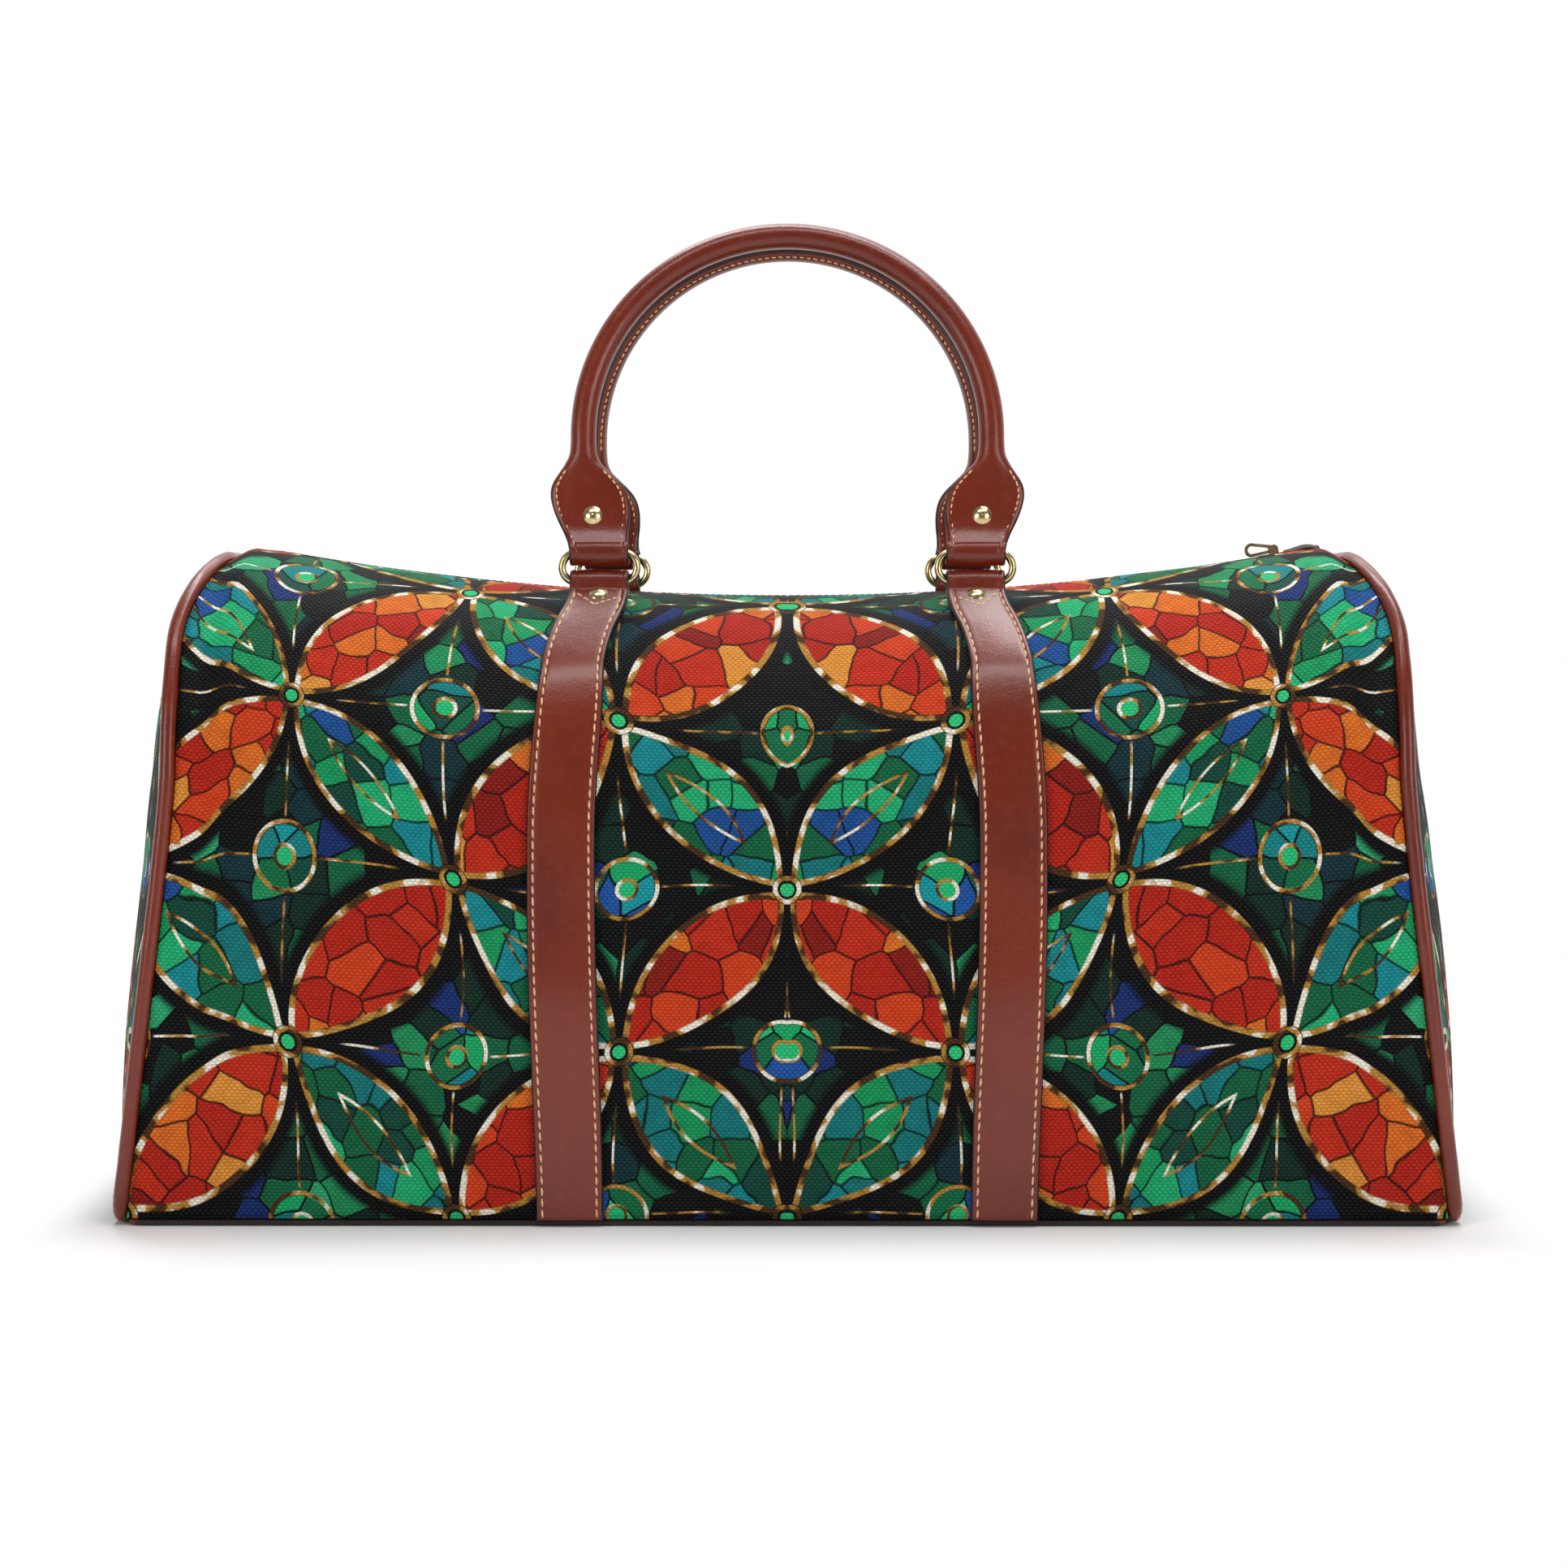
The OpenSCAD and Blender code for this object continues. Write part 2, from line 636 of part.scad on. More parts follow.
// Flared end of a handle with its fold over the upper bar of a ring
module handle_end() {
    loft([
        tab_ring(7, loop_w / 2 - 0.3, handle_t - 0.15, 8),
        tab_ring(0.28 * neck_rise, tab_w / 2 - 3.2, handle_t, 7),
        tab_ring(0.37 * neck_rise, tab_w / 2 - 1.9, handle_t, 7),
        tab_ring(0.48 * neck_rise, tab_w / 2 - 0.6, handle_t + 0.1, 6),
        tab_ring(0.58 * neck_rise, tab_w / 2, handle_t + 0.3, 5),
        tab_ring(0.67 * neck_rise, tab_w / 2 - 0.9, handle_t + 0.7, 4.4),
        tab_ring(0.75 * neck_rise, tab_w / 2 - 3.4, handle_t + 1.3, 3.6),
        tab_ring(0.84 * neck_rise, tab_w / 2 - 7.4, handle_t + 2.2, 2.9),
        tab_ring(0.93 * neck_rise, grip_r + 1.9, grip_r - 0.8, 2.3),
        tab_ring(neck_rise, grip_r + 0.4, grip_r - 0.2, 2),
        tab_ring(neck_rise + 4, grip_r - 0.3, grip_r - 0.3, 2),
    ]);
    translate([ring_x, ring_y, upper_bar]) rotate([0, -90, 0])
        loop_fold(loop_w, handle_t, 9, 9);
}

module tab_rivet_place() {
    translate([ring_x + tab_lean * tab_rivet_rise, ring_y, upper_bar + tab_rivet_rise]) rotate([90, 0, 0]) children();
}

// Grip of a given bore and wall: a half ring on two straight legs
module grip(outer, inner) {
    translate([0, ring_y, arch_z]) {
        rotate([90, 0, 0]) rotate_extrude(angle = 180, $fn = 96) translate([grip_radius, 0]) difference() {
            circle(r = outer);
            if (inner > 0) circle(r = inner);
        }
    }
    for (x = [-grip_radius, grip_radius]) translate([x, ring_y, leg_foot]) difference() {
        cylinder(r = outer, h = arch_z - leg_foot);
        if (inner > 0) translate([0, 0, -1]) cylinder(r = inner, h = arch_z - leg_foot + 2);
    }
}

// Leans a handle in over the zip about the upper bars of its rings
module lean_in() {
    translate([0, ring_y, upper_bar]) rotate([-handle_lean, 0, 0]) translate([0, -ring_y, -upper_bar]) children();
}

// Front handle: a leather sleeve rolled round its core, flattened at both ends
module handle() {
    color(leather) lean_in() difference() {
        union() {
            grip(grip_r, core_bore);
            for (x = [0, 1]) mirror([x, 0, 0]) handle_end();
        }
        for (x = [0, 1]) mirror([x, 0, 0]) tab_rivet_place()
            translate([0, 0, -10]) cylinder(r = post_d / 2 + rivet_gap, h = 20);
    }
}

module handle_core() {
    rise = 5;
    color(dark_cloth) lean_in() {
        translate([0, ring_y, arch_z]) rotate([90, 0, 0]) rotate_extrude(angle = 180, $fn = 96)
            translate([grip_radius, 0]) circle(r = core_r);
        for (x = [-grip_radius, grip_radius]) translate([x, ring_y, leg_foot + rise])
            cylinder(r = core_r, h = arch_z - leg_foot - rise);
    }
}

module handle_rivets() {
    lean_in() for (x = [0, 1]) mirror([x, 0, 0]) tab_rivet_place() rivet(2 * (handle_t + 0.1), 0.9);
}

module to_back() mirror([0, 1, 0]) children();

module to_left() mirror([1, 0, 0]) children();

wall();  // front_panel
to_back() wall();  // back_panel
base_panel();
to_left() end_panel();  // left_end_panel
end_panel();  // right_end_panel
to_left() piping();  // left_piping
piping();  // right_piping
base_board();
lining_body();
to_left() lining_end();  // lining_left_end
lining_end();  // lining_right_end
zip_tape();  // zip_tape_front
to_back() zip_tape();  // zip_tape_back
tooth_row(0);  // zip_teeth_front
to_back() tooth_row(0.5);  // zip_teeth_back
zip_stops();
zip_tail();
zip_slider();
zip_pull();
to_left() strap();  // front_left_strap
strap();  // front_right_strap
to_back() to_left() strap();  // back_left_strap
to_back() strap();  // back_right_strap
strap_rivets();
to_left() ring();  // front_left_ring
ring();  // front_right_ring
to_back() to_left() ring();  // back_left_ring
to_back() ring();  // back_right_ring
handle();  // front_handle
to_back() handle();  // back_handle
handle_core();  // front_handle_core
to_back() handle_core();  // back_handle_core
handle_rivets();  // front_handle_rivets
to_back() handle_rivets();  // back_handle_rivets
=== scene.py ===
import math

import bmesh
import bpy
from mathutils import Matrix, Vector, noise


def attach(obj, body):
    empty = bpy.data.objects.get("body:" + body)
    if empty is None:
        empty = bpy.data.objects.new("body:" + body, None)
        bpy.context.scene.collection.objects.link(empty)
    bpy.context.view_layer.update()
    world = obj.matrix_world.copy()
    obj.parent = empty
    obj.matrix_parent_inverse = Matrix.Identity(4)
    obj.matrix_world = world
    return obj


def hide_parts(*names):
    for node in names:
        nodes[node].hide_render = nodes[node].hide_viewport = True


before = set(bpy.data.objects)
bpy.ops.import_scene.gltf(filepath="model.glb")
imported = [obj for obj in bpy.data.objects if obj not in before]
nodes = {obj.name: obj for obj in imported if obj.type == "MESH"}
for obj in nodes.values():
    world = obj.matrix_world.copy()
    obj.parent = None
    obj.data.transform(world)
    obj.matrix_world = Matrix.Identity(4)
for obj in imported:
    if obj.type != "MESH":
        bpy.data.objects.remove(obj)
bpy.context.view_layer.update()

# Sizes of the bag in millimetres. X runs along the zip, -Y is the front, +Z is up.
MM = 0.001
BASE_HALF, WAIST_HALF, RIDGE_HALF = 304.0, 279.5, 266.0
DEPTH_HALF, FLAT_HALF = 113.0, 24.0
SHOULDER_DEPTH = DEPTH_HALF - FLAT_HALF
RIDGE, SHOULDER = 286.0, 105.0
WALL_TOP = RIDGE - SHOULDER
SAG_RADIUS = 1400.0
SAG_CENTRE = RIDGE + SAG_RADIUS
END_DROP, WALL_SWELL, END_SWELL = 7.0, 3.0, 24.0
FLARE_TOP, TUCK_FROM = 0.67 * RIDGE, 0.86 * RIDGE
CLOTH_T, BASE_T, LINING_T = 1.6, 2.8, 0.8
PIPING_R, PIPING_CORNER = 3.6, 9.0
END_INSET, WALL_FOOT, LINING_FOOT = 3.9, 3.1, 6.4
ZIP_HALF, SLOT_HALF, SLOT_CLOSE, SEAM_HALF = 250.0, 8.0, 8.0, 0.2
TAPE_T, TAPE_EDGE, TAPE_WIDTH, TAPE_DROP, TAIL_T = 1.0, -22.0, 18.8, 2.1, 1.2

# Straps, rings and handles
STRAP_T, STRAP_GAP = 2.4, 0.5
RING_X, RING_Y = 88.0, -52.0
LOWER_BAR, UPPER_BAR = 292.385, 306.385
RING_STRAIGHT, RING_WIRE = 10.5, 1.8
LIFT_ANGLE, LIFT_LENGTH = math.radians(-136.524), 37.05
STRAP_LOOP, HANDLE_LOOP = 4.6, 5.2
HANDLE_T = 2.3
GRIP_RISE, ARCH_R, GRIP_R = 56.5, 96.0, 6.0
ARCH_Z = UPPER_BAR + GRIP_RISE
TAB_LEAN, LEAN_TOP = 8.0 / 42.5, 42.5
HANDLE_LEAN = math.radians(10.0)

# Stitches: pitch on straps and base, on handle ends and on long seams, and inset from an edge
STRAP_PITCH, FINE_PITCH, SEAM_PITCH, STITCH_IN = 5.0, 2.9, 3.4, 2.9

FRONT, HALF_TURN = (1, 1), (-1, -1)


def clamp(value, low, high):
    return max(low, min(high, value))


def smooth(low, high, value):
    s = clamp((value - low) / (high - low), 0.0, 1.0)
    return s * s * (3 - 2 * s)


def bell(value, middle, width):
    return math.exp(-(((value - middle) / width) ** 2))


def lengths(points):
    """Length along a line of points, at each of them."""
    run = [0.0]
    for a, b in zip(points, points[1:]):
        run.append(run[-1] + (b - a).length)
    return run


def spread(loop, count):
    """Points evenly spaced round a loop whose last point is its first."""
    run = lengths(loop)
    spots, j = [], 0
    for i in range(count):
        target = run[-1] * i / count
        while run[j + 1] < target:
            j += 1
        spots.append(loop[j].lerp(loop[j + 1], (target - run[j]) / max(1e-9, run[j + 1] - run[j])))
    return spots


def circle(centre, radius, across, up, count):
    """Points round a circle that lies in two directions."""
    turns = [k * math.tau / count for k in range(count)]
    return [centre + radius * (math.cos(turn) * across + math.sin(turn) * up) for turn in turns]


# ---------------------------------------------------------------- shape of the bag

def ridge_arc(x):
    return SAG_CENTRE - math.sqrt(SAG_RADIUS * SAG_RADIUS - x * x)


def ridge_z(x):
    return ridge_arc(x) - END_DROP * smooth(ZIP_HALF + 2, RIDGE_HALF, abs(x))


def end_x(z):
    """Distance from the middle to the seam of an end, at a height up the profile."""
    tuck = max(0.0, (z - TUCK_FROM) / (RIDGE - TUCK_FROM))
    flare = max(0.0, 1 - z / FLARE_TOP) ** 1.15
    return WAIST_HALF + (BASE_HALF - WAIST_HALF) * flare - (WAIST_HALF - RIDGE_HALF) * tuck * tuck


def slot_edge(x):
    return SEAM_HALF + (SLOT_HALF - SEAM_HALF) * (1 - smooth(ZIP_HALF, ZIP_HALF + SLOT_CLOSE, abs(x)))


def profile(t, foot=WALL_FOOT, edge=SLOT_HALF):
    """Front half of the cross-section as (y, z): wall to station 1, shoulder to 2, flat ridge to 3."""
    if t <= 1:
        z = foot + (WALL_TOP - foot) * t
        return -DEPTH_HALF - WALL_SWELL * math.sin(math.pi * z / WALL_TOP) ** 2, z
    if t <= 2:
        turn = math.pi / 2 * (t - 1)
        return -FLAT_HALF - SHOULDER_DEPTH * math.cos(turn), WALL_TOP + SHOULDER * math.sin(turn)
    return -FLAT_HALF + (FLAT_HALF - edge) * (t - 2), RIDGE


def profile_normal(t):
    (y0, z0), (y1, z1) = profile(max(0.0, t - 0.02)), profile(min(3.0, t + 0.02))
    length = math.hypot(y1 - y0, z1 - z0)
    return -(z1 - z0) / length, (y1 - y0) / length


def skin(x, t, out=0.0, foot=WALL_FOOT, edge=SLOT_HALF):
    (y, z), (ny, nz) = profile(t, foot, edge), profile_normal(t)
    return Vector((x, y + out * ny, (z + out * nz) * ridge_z(x) / RIDGE))


FINE_STEPS = 600


def even_stations(last, count):
    """Stations up the profile that are evenly spaced along the cloth, and its length."""
    fine = [last * i / FINE_STEPS for i in range(FINE_STEPS + 1)]
    run = lengths([Vector(profile(t)) for t in fine])
    stations, j = [], 0
    for i in range(count + 1):
        target = run[-1] * i / count
        while j < FINE_STEPS - 1 and run[j + 1] < target:
            j += 1
        share = (target - run[j]) / max(1e-9, run[j + 1] - run[j])
        stations.append(fine[j] + (fine[j + 1] - fine[j]) * clamp(share, 0.0, 1.0))
    return stations, run[-1]


def ease(x, t):
    """How far the soft wall stands in or out of its cut shape."""
    z = profile(t)[1]
    to_seam = end_x(z) - END_INSET - abs(x)
    hold = smooth(0.0, 0.3, t) * (1 - smooth(1.8, 2.2, t)) * smooth(4, 60, to_seam)
    broad = 2.4 * noise.noise(Vector((x * 0.0085, t * 1.5, 3.1)))
    broad += 1.1 * noise.noise(Vector((x * 0.021, t * 3.6, 8.4)))
    gather = 0.9 * bell(to_seam, 13, 11) * noise.noise(Vector((4.7, t * 9.0, math.copysign(2.0, x))))
    gather *= smooth(0.05, 0.3, t) * (1 - smooth(1.7, 2.0, t))
    foot = 0.7 * bell(t, 0.1, 0.08) * noise.noise(Vector((x * 0.05, 1.3, 6.2)))
    return hold * broad + gather + foot * smooth(6, 30, to_seam)


def cloth(x, t, out=0.0, edge=SLOT_HALF):
    return skin(x, t, out + ease(x, t), edge=edge)


# ---------------------------------------------------------------- finishes

def shade(code):
    """Linear colour of a #rrggbb code."""
    parts = [int(code[i:i + 2], 16) / 255 for i in (1, 3, 5)]
    return tuple(c / 12.92 if c <= 0.04045 else ((c + 0.055) / 1.055) ** 2.4 for c in parts) + (1.0,)


class Value:
    """One socket of a node tree: arithmetic on it adds Math nodes."""

    def __init__(self, wiring, socket):
        self.wiring, self.socket = wiring, socket

    def math(self, operation, *others):
        return self.wiring.math(operation, self, *others)

    def __add__(self, other):
        return self.math("ADD", other)

    __radd__ = __add__

    def __sub__(self, other):
        return self.math("SUBTRACT", other)

    def __rsub__(self, other):
        return self.wiring.math("SUBTRACT", other, self)

    def __mul__(self, other):
        return self.math("MULTIPLY", other)

    __rmul__ = __mul__

    def __truediv__(self, other):
        return self.math("DIVIDE", other)

    def size(self):
        return self.math("ABSOLUTE")

    def root(self):
        return self.math("SQRT")

    def fraction(self):
        return self.math("FRACT")

    def floor(self):
        return self.math("FLOOR")

    def least(self, other):
        return self.math("MINIMUM", other)

    def most(self, other):
        return self.math("MAXIMUM", other)

    def ramp(self, low, high):
        """0 under low, 1 over high, and smooth between."""
        return self.wiring.node(
            "ShaderNodeMapRange", {"interpolation_type": "SMOOTHSTEP"},
            {"Value": self, "From Min": low, "From Max": high})

    def line(self, middle, half):
        """1 within half of middle, fading over a third of it."""
        return 1 - (self - middle).size().ramp(half * 0.7, half * 1.3)


class Wiring:
    """A node tree; node() adds every node but arithmetic."""

    def __init__(self, tree, output):
        self.tree = tree
        self.tree.nodes.clear()
        self.output = self.tree.nodes.new(output)

    def feed(self, socket, value):
        if isinstance(value, Value):
            self.tree.links.new(value.socket, socket)
        else:
            socket.default_value = value

    def node(self, kind, settings=None, sockets=None, out=0):
        made = self.tree.nodes.new(kind)
        for name, value in (settings or {}).items():
            if name == "stops":
                ramp = made.color_ramp
                ramp.interpolation = "CONSTANT"
                while len(ramp.elements) < len(value):
                    ramp.elements.new(1.0)
                for element, (place, code) in zip(ramp.elements, value):
                    element.position, element.color = place, shade(code)
            else:
                setattr(made, name, value)
        for name, value in (sockets or {}).items():
            self.feed(made.inputs[name], value)
        return Value(self, made.outputs[out])

    def math(self, operation, *values):
        return self.node("ShaderNodeMath", {"operation": operation}, dict(enumerate(values)))

    def parts(self, vector):
        """The x, y and z of a vector."""
        apart = self.tree.nodes.new("ShaderNodeSeparateXYZ")
        self.feed(apart.inputs[0], vector)
        return [Value(self, socket) for socket in apart.outputs]

    def ray(self, kind):
        """1 where the surface is reached by a ray of a kind."""
        return self.node("ShaderNodeLightPath", out="Is " + kind + " Ray")


class Finish(Wiring):
    """A material with one shader."""

    def __init__(self, name, **shader):
        self.material = bpy.data.materials.new(name)
        self.material.use_nodes = True
        super().__init__(self.material.node_tree, "ShaderNodeOutputMaterial")
        self.shader = self.tree.nodes.new("ShaderNodeBsdfPrincipled")
        self.tree.links.new(self.shader.outputs[0], self.output.inputs[0])
        self.set(**shader)

    def mix(self, share, first, second):
        return self.node("ShaderNodeMix", {"data_type": "RGBA"}, {0: share, 6: first, 7: second}, out=2)

    def flat(self):
        """Place on the flat cut of the piece, in metres."""
        return self.parts(self.node("ShaderNodeUVMap", {"uv_map": "flat"}))[:2]

    def space(self):
        return self.node("ShaderNodeTexCoord", out="Object")

    def spot(self, x, y, z=0.0):
        return self.node("ShaderNodeCombineXYZ", None, {0: x, 1: y, 2: z})

    def cloud(self, spot, scale, detail=2.0, rough=0.5):
        return self.node("ShaderNodeTexNoise", None, {
            "Vector": spot, "Scale": scale, "Detail": detail, "Roughness": rough})

    def cells(self, spot, scale, feature="F1", out="Distance", flat=True):
        return self.node(
            "ShaderNodeTexVoronoi", {"feature": feature, "voronoi_dimensions": "2D" if flat else "3D"},
            {"Vector": spot, "Scale": scale}, out)

    def colours(self, chance, stops):
        return self.node("ShaderNodeValToRGB", {"stops": stops}, {0: chance})

    def part(self, colour, index):
        apart = self.tree.nodes.new("ShaderNodeSeparateColor")
        self.feed(apart.inputs[0], colour)
        return Value(self, apart.outputs[index])

    def edge(self):
        return self.node("ShaderNodeAttribute", {"attribute_name": "edge"}, out="Fac")

    def bump(self, height, depth):
        normal = self.node("ShaderNodeBump", None, {"Height": height, "Distance": depth, "Strength": 1.0})
        self.feed(self.shader.inputs["Normal"], normal)

    def set(self, **sockets):
        for socket, value in sockets.items():
            self.feed(self.shader.inputs[socket.replace("_", " ")], value)


def thread_weave(f, across, along, width, pitch):
    """Height of a woven cloth: staggered dashes of thread in rows."""
    row = along / pitch
    crown = 1 - ((row.fraction() - 0.5) * 2).size().ramp(0.35, 1.0)
    step = (row.floor() * 0.5).fraction()
    dash = ((across / width + step).fraction() - 0.5).size()
    return crown * (1 - dash.ramp(0.22, 0.5))


def print_cloth():
    """Woven cloth with a mirrored lattice of mosaic petals, gold outlines and small set gems."""
    f = Finish("print_cloth", Specular_IOR_Level=0.08)
    u, v = f.flat()
    place = f.spot(u.size(), v)
    drift = f.cloud(place, 7.0, 1.0)
    other_drift = f.cloud(f.spot(v, u.size()), 7.0, 1.0)
    side, up = u.size() + (drift - 0.5) * 0.03, v + (other_drift - 0.5) * 0.03
    tile = 0.106
    turn = 1 / (tile * math.sqrt(2))
    across, along = (side + up) * turn, (side - up) * turn
    fx, fy = (across.fraction() - 0.5).size(), (along.fraction() - 0.5).size()
    one = ((1 - fx) * (1 - fx) + fy * fy).root()
    two = ((1 - fy) * (1 - fy) + fx * fx).root()
    petal = math.sqrt(0.5) - one.least(two)
    warm = (two - one).ramp(-0.004, 0.004)
    hub = (fx * fx + fy * fy).root()
    knot = ((0.5 - fx) * (0.5 - fx) + (0.5 - fy) * (0.5 - fy)).root()

    jitter = f.cloud(place, 38.0, 2.0)
    shard_place = f.spot(side + jitter * 0.010, up - jitter * 0.010)
    shard = f.cells(shard_place, 62.0, out="Color")
    chance, other = f.part(shard, 0), f.part(shard, 1)
    seam = 1 - f.cells(shard_place, 62.0, "DISTANCE_TO_EDGE").ramp(0.015, 0.05)
    glow = f.cloud(place, 150.0, 2.0)

    black = shade("#040405")
    brass = f.cloud(place, 85.0, 1.0)
    gold = f.mix(brass.ramp(0.42, 0.5), shade("#4a2e14"), shade("#bb8838"))
    gold = f.mix(brass.ramp(0.54, 0.6), gold, shade("#f8f0dc"))
    ground = f.colours(chance, [
        (0.0, "#070b0a"), (0.34, "#0c3327"), (0.52, "#127048"), (0.66, "#0f3840"), (0.78, "#249e62"),
        (0.88, "#18357a"), (0.95, "#34ba7e")])
    ember = f.colours(other, [
        (0.0, "#c62814"), (0.25, "#e84a1c"), (0.45, "#f47c28"), (0.6, "#d63418"), (0.8, "#921c10"),
        (0.92, "#f8a642")])
    emerald = f.colours(other, [
        (0.0, "#107046"), (0.22, "#19ac68"), (0.4, "#138688"), (0.58, "#0d4f40"), (0.72, "#26c682"),
        (0.84, "#1e58a4"), (0.93, "#169ca4")])

    colour = f.mix(seam, f.mix(glow * 0.4, ground, black), black)
    colour = f.mix(petal.ramp(-0.075, -0.03), colour, black)
    tracery = (fx - fy).size().line(0.0, 0.007) * hub.ramp(0.15, 0.17) * (1 - petal.ramp(-0.05, -0.03))
    colour = f.mix(tracery, colour, gold)
    colour = f.mix(hub.line(0.135, 0.009), colour, gold)
    colour = f.mix(1 - hub.ramp(0.120, 0.124), colour, f.mix(seam, emerald, black))
    colour = f.mix(1 - hub.ramp(0.036, 0.040), colour, shade("#28c47c"))
    colour = f.mix(hub.line(0.044, 0.008), colour, gold)
    leaf = f.mix(warm, emerald, ember)
    leaf = f.mix(glow * 0.45, leaf, f.mix(warm, shade("#06281d"), shade("#6d120d")))
    leaf = f.mix(seam * 0.9, leaf, f.mix(warm, black, shade("#2a0806")))
    colour = f.mix(petal.ramp(0.034, 0.040), colour, leaf)
    vein = petal.line(0.16, 0.006) * (1 - warm)
    colour = f.mix(vein, colour, gold)
    colour = f.mix(petal.line(0.024, 0.013), colour, gold)
    colour = f.mix(petal.line(0.004, 0.007), colour, black)
    colour = f.mix(1 - knot.ramp(0.062, 0.066), colour, black)
    colour = f.mix(knot.line(0.050, 0.010), colour, gold)
    colour = f.mix(1 - knot.ramp(0.026, 0.030), colour, shade("#30ca7c"))

    weave = thread_weave(f, u, v, 0.0025, 0.0014)
    # Grey on the thread crowns: partly pale thread showing through the print, partly a painted sheen.
    colour = f.mix(weave.ramp(0.6, 1.0) * 0.022, colour, shade("#b4b4b8"))
    # Darker in the gaps between the threads: painted shade.
    colour = f.mix((1 - weave) * 0.34, colour, shade("#030303"))
    f.set(Base_Color=colour, Roughness=0.64 - weave * 0.12)
    f.bump(weave, 0.00035)
    return f.material


def chestnut_leather():
    f = Finish("chestnut_leather", Specular_IOR_Level=0.42, Coat_Roughness=0.16)
    place = f.space()
    patch = f.cloud(place, 16.0, 3.0)
    streak = f.cloud(place, 240.0, 3.0, 0.6)
    pore = f.cells(place, 1150.0, "SMOOTH_F1", flat=False)
    colour = f.mix(patch.ramp(0.3, 0.7), shade("#651c07"), shade("#75240b"))
    colour = f.mix(streak.ramp(0.45, 0.8) * 0.3, colour, shade("#863416"))
    colour = f.mix((1 - pore.ramp(0.1, 0.5)) * 0.25, colour, shade("#481206"))
    edge = f.edge()
    # Dark edge paint where the edge mark is set; on the base's sides it is also painted shade.
    colour = f.mix(edge.ramp(0.25, 0.8), colour, shade("#120705"))
    f.set(Base_Color=colour, Roughness=0.27 + streak * 0.12 + edge * 0.2, Coat_Weight=0.25 - edge * 0.2)
    f.bump(pore * 0.6 + streak * 0.8, 0.00012)
    return f.material


def stitch_thread(name, light, dark):
    f = Finish(name, Sheen_Weight=0.2)
    place = f.space()
    strand = f.cloud(place, 1900.0, 2.0)
    f.set(
        Base_Color=f.mix(strand.ramp(0.35, 0.65), shade(dark), shade(light)),
        Roughness=0.55 + strand * 0.2)
    f.bump(strand, 0.0001)
    return f.material


def pale_gold():
    f = Finish("pale_gold", Specular_IOR_Level=0.5)
    place = f.space()
    haze = f.cloud(place, 130.0, 4.0)
    fine = f.cloud(place, 1500.0, 2.0)
    f.set(
        Base_Color=f.mix(haze.ramp(0.3, 0.7), shade("#c6ae74"), shade("#e6d6a8")),
        Metallic=1.0, Roughness=0.16 + haze * 0.14)
    f.bump(fine, 0.000006)
    return f.material


def ribbed_tape():
    f = Finish("ribbed_tape", Sheen_Weight=0.15)
    u, v = f.flat()
    weave = thread_weave(f, v, u, 0.0016, 0.0009)
    # Lighter thread crowns and darker gaps follow the weave's height: painted highlight and painted shade.
    f.set(
        Base_Color=f.mix(weave, shade("#170d09"), shade("#3a2218")),
        Roughness=0.75 - weave * 0.1)
    f.bump(weave, 0.0002)
    return f.material


def lining_cloth():
    f = Finish("lining_cloth", Sheen_Weight=0.1)
    u, v = f.flat()
    weave = thread_weave(f, u, v, 0.0012, 0.0007)
    # Lighter thread crowns and darker gaps follow the weave's height: painted highlight and painted shade.
    f.set(Base_Color=f.mix(weave, shade("#2a2220"), shade("#4a3d37")), Roughness=0.6 - weave * 0.12)
    f.bump(weave, 0.0001)
    return f.material


def dark_plastic():
    f = Finish("zip_plastic")
    haze = f.cloud(f.space(), 400.0, 3.0)
    f.set(Base_Color=f.mix(haze, shade("#20130d"), shade("#3b261b")), Roughness=0.3 + haze * 0.2)
    f.bump(haze, 0.00003)
    return f.material


def fibre_board():
    f = Finish("fibre_board")
    place = f.space()
    fibre = f.cloud(place, 380.0, 5.0, 0.7)
    f.set(
        Base_Color=f.mix(fibre.ramp(0.3, 0.7), shade("#5d4a36"), shade("#8a7459")),
        Roughness=0.85 - fibre * 0.1)
    f.bump(fibre, 0.0003)
    return f.material


def cotton_core():
    f = Finish("cotton_core", Sheen_Weight=0.2)
    strand = f.cloud(f.space(), 900.0, 4.0, 0.6)
    f.set(Base_Color=f.mix(strand, shade("#a89a80"), shade("#d8cdb6")), Roughness=0.9 - strand * 0.1)
    f.bump(strand, 0.0003)
    return f.material


PRINT, LEATHER, GOLD = print_cloth(), chestnut_leather(), pale_gold()
TAN_THREAD = stitch_thread("tan_thread", "#f0cb9e", "#ca9561")
DARK_THREAD = stitch_thread("dark_thread", "#3a2a22", "#1a110d")
TAPE, LINING, PLASTIC = ribbed_tape(), lining_cloth(), dark_plastic()


# ---------------------------------------------------------------- making pieces

def surface(columns, rows, place, flat, edge=None):
    """A grid laid out by place(a, b), with its flat cut as UV; a and b run from 0 to 1."""
    mesh = bmesh.new()
    bmesh.ops.create_grid(mesh, x_segments=columns, y_segments=rows, size=0.5)
    cut = mesh.loops.layers.uv.new("flat")
    mark = mesh.verts.layers.float.new("edge")
    spots = {vert: (vert.co.x + 0.5, vert.co.y + 0.5) for vert in mesh.verts}
    for face in mesh.faces:
        face.smooth = True
        for corner in face.loops:
            corner[cut].uv = flat(*spots[corner.vert])
    for vert, (a, b) in spots.items():
        vert.co = Vector(place(a, b)) * MM
        vert[mark] = edge(a, b) if edge else 0.0
    return mesh


